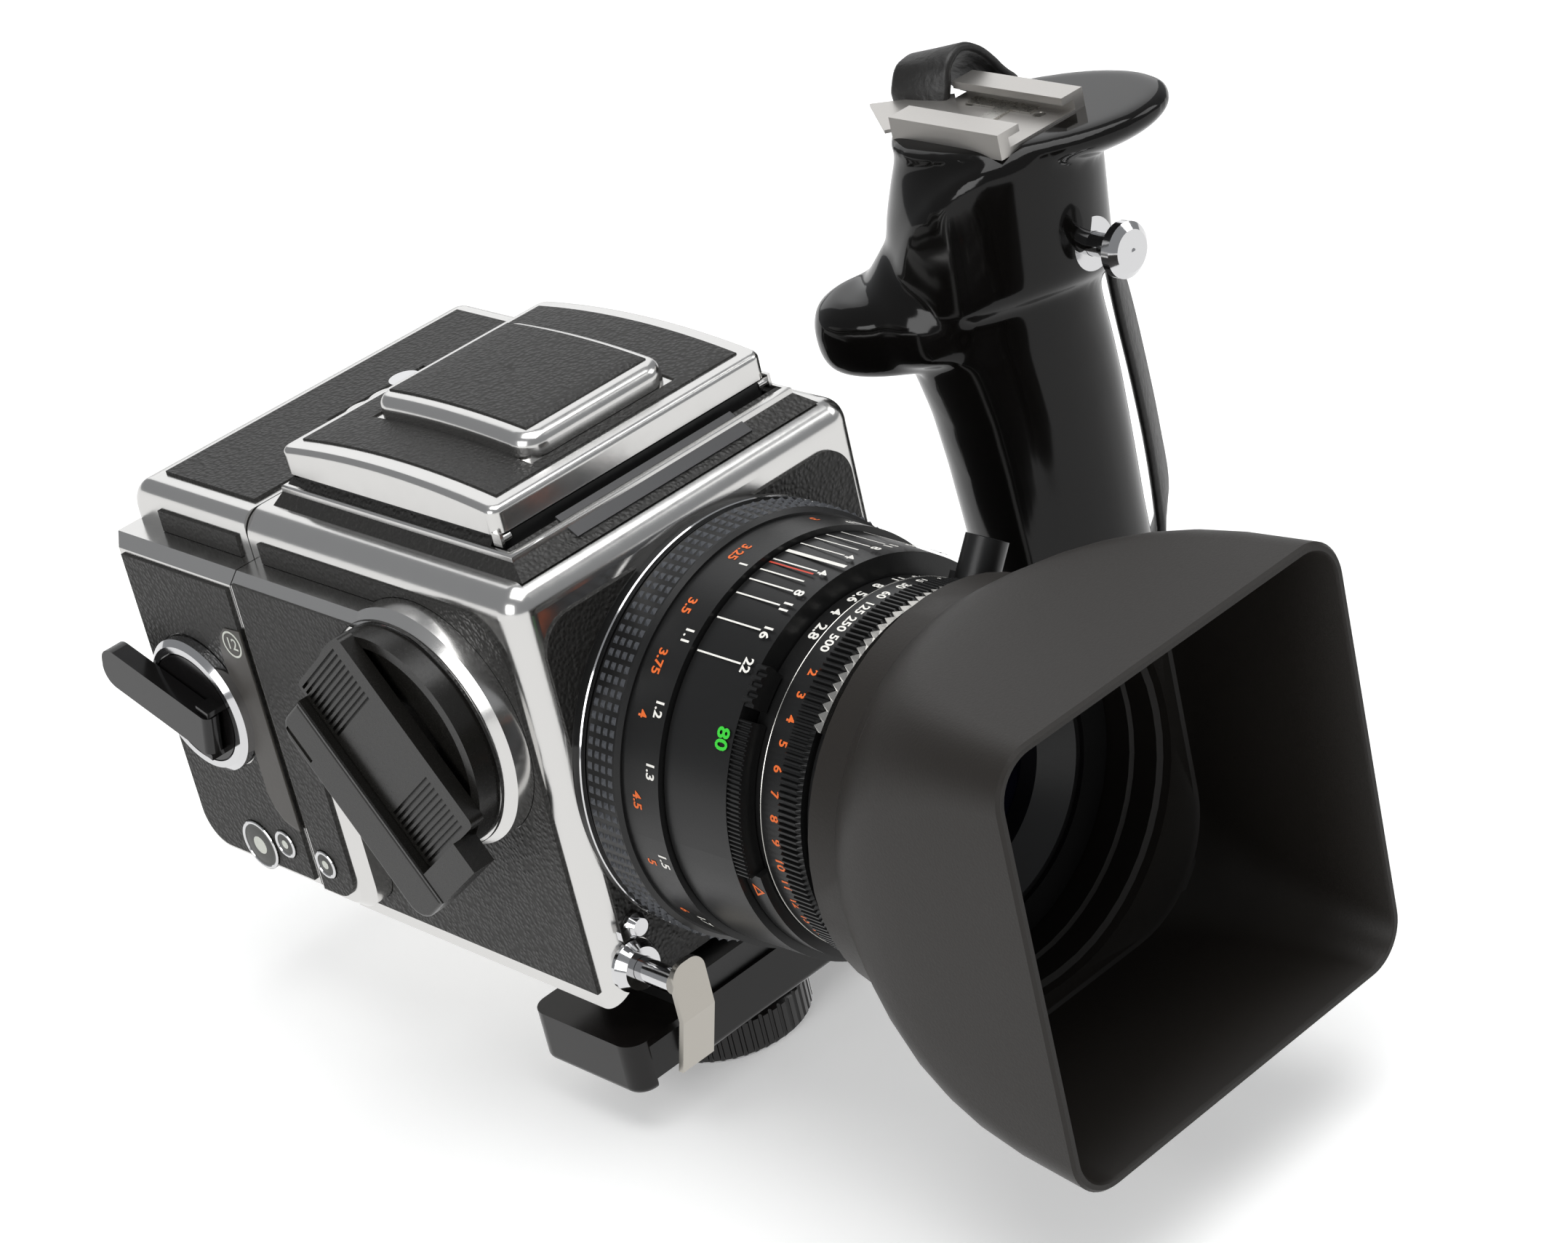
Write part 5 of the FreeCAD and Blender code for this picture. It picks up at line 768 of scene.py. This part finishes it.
def square_ring(ahead, half, corner):
    """A rounded square about the lens axis, with the same number of points whatever its corners."""
    points = []
    for quarter in range(4):
        middle = pi / 4 + quarter * pi / 2
        hub = Vector((cos(middle), sin(middle))) * (half - corner) * sqrt(2)
        for n in range(ARC_POINTS + 1):
            angle = middle - pi / 4 + (pi / 2) * n / ARC_POINTS
            points.append(hub + corner * Vector((cos(angle), sin(angle))))
        after = middle + pi / 2
        last = points[-1]
        first = (Vector((cos(after), sin(after))) * (half - corner) * sqrt(2)
                 + corner * Vector((cos(after - pi / 4), sin(after - pi / 4))))
        points += [last.lerp(first, n / SIDE_POINTS) for n in range(1, SIDE_POINTS)]
    return [Vector((AXIS_X + spot.x, BODY_FACE - ahead, AXIS_Z + spot.y)) for spot in points]


hood = skin("lens_hood", [square_ring(HOOD_START + ahead * MM, half * MM, corner * MM)
                          for ahead, half, corner in HOOD_OUTSIDE + HOOD_INSIDE], closed=True)
# Spark-textured ABS: dull black-brown, as it left the mould.
spark_abs = surface("spark_textured_abs", {"Base Color": linear("#211e1b"), "Roughness": 0.48,
                                           "Specular IOR Level": 0.32}, noise(0.0005, 0.00003, 0.05))
give(smooth(hood, 35), spark_abs)
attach(hood, "hood")
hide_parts("hood")

# Film: roll film, wound on the two spools inside the magazine.
# Film base: grey-violet and glossy.
film_base = surface("grey_film_base", {"Base Color": linear("#4a4450"), "Roughness": 0.3},
                    noise(0.003, 0.00001, 0.05))
give("film", film_base)

# Bracket: a cast bar and a fluted wheel under the body, stove enamelled in black.
# Black enamel: smooth and half glossy.
black_enamel = surface("black_stove_enamel", {"Base Color": linear("#12100f"), "Roughness": 0.2,
                                              "Specular IOR Level": 0.35}, noise(0.002, 0.00001, 0.05))
for painted in ("bracket_bar", "clamp_wheel"):
    give(painted, black_enamel)

# Side grip: a glossy black moulding in one piece, buffed smooth. A tapering shaft carries a head with
# a skirt, a thumb rest on the left, and a plate on top that ends in a beak on the right.
GRIP = Vector((0.108, -0.004, 0.025))
ACROSS = Vector((0.734, -0.679, 0))
DEEP = Vector((0.679, 0.734, 0))
GRIP_POINTS = 48
# Polished moulding: deep black, like lacquer.
polished_black = surface("polished_black_moulding", {"Base Color": linear("#0c0b0a"), "Roughness": 0.1,
                                                     "Specular IOR Level": 0.28}, noise(0.01, 0.000004, 0.03))


def on_grip(across, deep, height):
    """A point of the grip in millimetres: across the photographed side, away from the camera, and up."""
    return GRIP + (ACROSS * across + DEEP * deep + Vector((0, 0, height))) * MM


def oval(height, left, right, depth, power=2.0):
    """A ring round the grip, from left to right; a height may be a function of across and deep."""
    ring = []
    for n in range(GRIP_POINTS):
        angle = 2 * pi * n / GRIP_POINTS
        x = abs(cos(angle)) ** (2 / power) * (1 if cos(angle) > 0 else -1)
        y = abs(sin(angle)) ** (2 / power) * (1 if sin(angle) > 0 else -1)
        across, deep = (left + right) / 2 + x * (right - left) / 2, y * depth
        ring.append(on_grip(across, deep, height(across, deep) if callable(height) else height))
    return ring


def skirt(across, deep):
    """Height of the head's lower edge, which climbs to the front and a little to the right."""
    return 80 + 0.13 * across - 0.36 * deep


RIDGE = ((-27, 84), (-24, 89.5), (-20.8, 97.5), (-17.5, 104.5), (-12.4, 110.5), (-6.5, 114.6), (-1, 116.6),
         (6, 117), (25, 117.2))
PLATE_HEIGHT = 118.4


def ridge(across):
    """Height of the crest that climbs from the thumb rest to the plate."""
    for (low, z_low), (high, z_high) in zip(RIDGE, RIDGE[1:]):
        if across <= high:
            return z_low + (z_high - z_low) * (max(across, low) - low) / (high - low)
    return RIDGE[-1][1]


def between(part):
    """A height some part of the way from the skirt's edge up to the crest."""
    return lambda across, deep: skirt(across, deep) * (1 - part) + ridge(across) * part


def over_ridge(part):
    """A height some part of the way from the crest up to the plate."""
    return lambda across, deep: ridge(across) * (1 - part) + PLATE_HEIGHT * part


# Height of each section of the shaft, its left and right ends and its half depth.
SHAFT = ((-25, -19.4, 18.4, 19.5), (-10, -19.2, 18.2, 19.4), (10, -18.8, 17.8, 19.2), (32, -18.9, 17.5, 19.0),
         (49, -19.8, 17.7, 19.0), (61, -20.9, 17.7, 19.2), (70, -22.6, 17.4, 19.4), (76, -24, 17, 19.4),
         (90, -22, 16.5, 18))
shaft = capped("grip_shaft", [oval(*row) for row in SHAFT])
# Part of the way up to the crest, or from there up to the plate, and the head's ends and half depth there.
HEAD_LOWER = ((0.0, (-24.0, 18.4, 19.6)), (0.05, (-25.0, 20.0, 21.0)), (0.12, (-25.2, 20.6, 21.3)),
              (0.35, (-24.8, 21.2, 21.4)), (0.65, (-24.6, 22.0, 21.4)), (0.88, (-24.4, 22.6, 21.3)),
              (1.0, (-24.1, 22.4, 20.8)))
HEAD_UPPER = ((0.06, (-23.5, 21.8, 19.6)), (0.16, (-23.0, 21.0, 17.8)), (0.3, (-21.8, 20.2, 16.6)),
              (0.5, (-19.5, 19.8, 15.9)), (0.7, (-17.8, 19.8, 15.7)), (0.86, (-17.5, 20.0, 16.4)),
              (1.0, (-18.8, 20.4, 18.4)))
head = capped("grip_head", [oval(between(part), *row) for part, row in HEAD_LOWER]
              + [oval(over_ridge(part), *row) for part, row in HEAD_UPPER])
# Height of each section of the beak, the thumb rest and the web that joins it to the head, and how far
# the section draws in.
BEAK = ((111.0, 7.0), (113.0, 3.0), (115.0, 0.5), (117.0, 0.0), (118.6, 1.2))
THUMB_REST = ((73.6, 4.5), (75.2, 1.4), (78, 0.2), (83, 0.0), (86.6, 1.2), (88.9, 4.8))
WEB = ((76.0, 3.0), (77.5, 0.6), (80, 0.0), (85, 0.2), (88.5, 1.8), (92, 4.6), (96, 7.5))
beak = capped("grip_beak", [oval(height, -17.0 + inset, 36.8 - inset, 19.4 - inset) for height, inset in BEAK])
rest = capped("grip_thumb_rest", [oval(height, -40.2 + inset, 8, 14.5 - inset * 0.7, 2.4)
                                  for height, inset in THUMB_REST])
web = capped("grip_web", [oval(height, -31.5 + inset, 2, 18.6 - inset, 2.2) for height, inset in WEB])
grip = join("side_grip", [shaft, head, beak, rest, web], polished_black, "camera")
GRIP_VOXEL = 0.85 * MM
SMOOTH_PASSES = 26
for kind, settings in (("REMESH", {"mode": "VOXEL", "voxel_size": GRIP_VOXEL}),
                       ("SMOOTH", {"factor": 0.5, "iterations": SMOOTH_PASSES})):
    modifier = grip.modifiers.new(kind.lower(), kind)
    for name, setting in settings.items():
        setattr(modifier, name, setting)
    bpy.ops.object.modifier_apply(modifier=modifier.name)
give(smooth(grip, 180), polished_black)
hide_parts("grip_body")

# Accessory shoe: a channel pressed in satin aluminium, screwed down on a thin plate of which a corner
# shows at the left.
# Satin aluminium: fine brushed, clear anodised.
satin_aluminium = surface("satin_anodised_aluminium", {"Base Color": linear("#c3c0bc"), "Metallic": 0.9,
                                                       "Roughness": 0.34}, noise(0.0006, 0.000006, 0.05))
give("grip_shoe", satin_aluminium)
CORNER = ((-18.6, 3.0), (-4.0, 3.0), (-4.0, 15.0), (-20.8, 19.0))
CORNER_HEIGHTS = (118.6, 119.3)
corner = capped("shoe_corner", [[on_grip(across, deep, height) for across, deep in CORNER]
                                for height in CORNER_HEIGHTS])
join("shoe_corner", [corner], satin_aluminium, "camera")

# Hand strap: black leather, folded and stitched, about 13 mm wide. It leaves the shaft low on the
# right, passes behind the head, makes a loop behind the shoe and comes down behind the neck.
# Strap leather: half dull and finely creased.
strap_leather = surface("black_strap_leather", {"Base Color": linear("#1b1a19"), "Roughness": 0.45},
                        noise(0.0016, 0.0002, 0.08))
# Middle of the band as across, deep and height, and the direction of its width in the same terms.
STRAP = ((14.8, 16.0, -1, -0.72, 0.69, 0), (16.6, 18.0, 4, -0.5, 0.86, 0), (18.6, 20.4, 10, -0.1, 0.98, 0),
         (21.4, 21.5, 20, 0.2, 0.98, 0), (21.9, 21.5, 35, 0.2, 0.98, 0),
         (21.6, 21.5, 50, 0.2, 0.98, 0), (20.9, 21.8, 65, 0.2, 0.98, 0), (20.0, 22.3, 80, 0.1, 1.0, 0),
         (19.4, 23.0, 93, 0, 1.0, 0), (17.6, 24.5, 104, -0.2, 0.95, 0), (13.5, 26.0, 112, -0.45, 0.85, 0),
         (7.0, 26.5, 114.5, -0.7, 0.65, -0.1), (1.5, 25.4, 118.0, -0.85, 0.5, -0.2),
         (-2.4, 23.6, 123.4, -0.85, 0.5, -0.2), (-5.8, 21.0, 125.9, -0.85, 0.5, -0.2),
         (-8.8, 18.0, 124.8, -0.85, 0.5, -0.2), (-10.3, 16.6, 121.0, -0.85, 0.5, -0.2),
         (-11.6, 16.6, 116.5, -0.7, 0.65, -0.1), (-14.4, 17.6, 110, -0.3, 0.95, 0),
         (-17.4, 18.6, 102, 0, 1.0, 0), (-19.4, 19.0, 94, 0, 1.0, 0), (-19.6, 18.6, 86, 0, 1.0, 0))
STRAP_HALF, STRAP_THICK = 6.6, 1.25
# The band's outline across its width: half width and half thickness shares.
BAND = ((-1.0, 0.0), (-0.97, 0.55), (-0.88, 0.8), (-0.8, 0.72), (-0.72, 1.0), (0.0, 1.25), (0.72, 1.0),
        (0.8, 0.72), (0.88, 0.8), (0.97, 0.55), (1.0, 0.0), (0.97, -0.55), (0.88, -0.8), (0.0, -0.9),
        (-0.88, -0.8), (-0.97, -0.55))
STRAP_STEPS = 6


def blend(points, position):
    """A value on the smooth curve through points, one unit of position from each to the next."""
    index = min(int(position), len(points) - 2)
    part = position - index
    before, start = points[max(index - 1, 0)], points[index]
    end, after = points[index + 1], points[min(index + 2, len(points) - 1)]
    return [0.5 * (2 * b + (c - a) * part + (2 * a - 5 * b + 4 * c - d) * part ** 2
                   + (3 * b - a - 3 * c + d) * part ** 3) for a, b, c, d in zip(before, start, end, after)]


def world_way(across, deep, height):
    """A direction given in the grip's terms, as a unit vector in the frame."""
    return (ACROSS * across + DEEP * deep + Vector((0, 0, height))).normalized()


rows = [blend(STRAP, step / STRAP_STEPS) for step in range((len(STRAP) - 1) * STRAP_STEPS + 1)]
middles = [on_grip(*row[:3]) for row in rows]
band_rings = []
for number, row in enumerate(rows):
    ahead = (middles[min(number + 1, len(rows) - 1)] - middles[max(number - 1, 0)]).normalized()
    wide = world_way(*row[3:])
    wide = (wide - ahead * wide.dot(ahead)).normalized()
    thick = ahead.cross(wide)
    band_rings.append([middles[number] + wide * STRAP_HALF * MM * w + thick * STRAP_THICK * MM * t
                       for w, t in BAND])
strap = join("hand_strap", [smooth(capped("hand_strap", band_rings), 60)], strap_leather, "camera")
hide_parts("grip_strap")
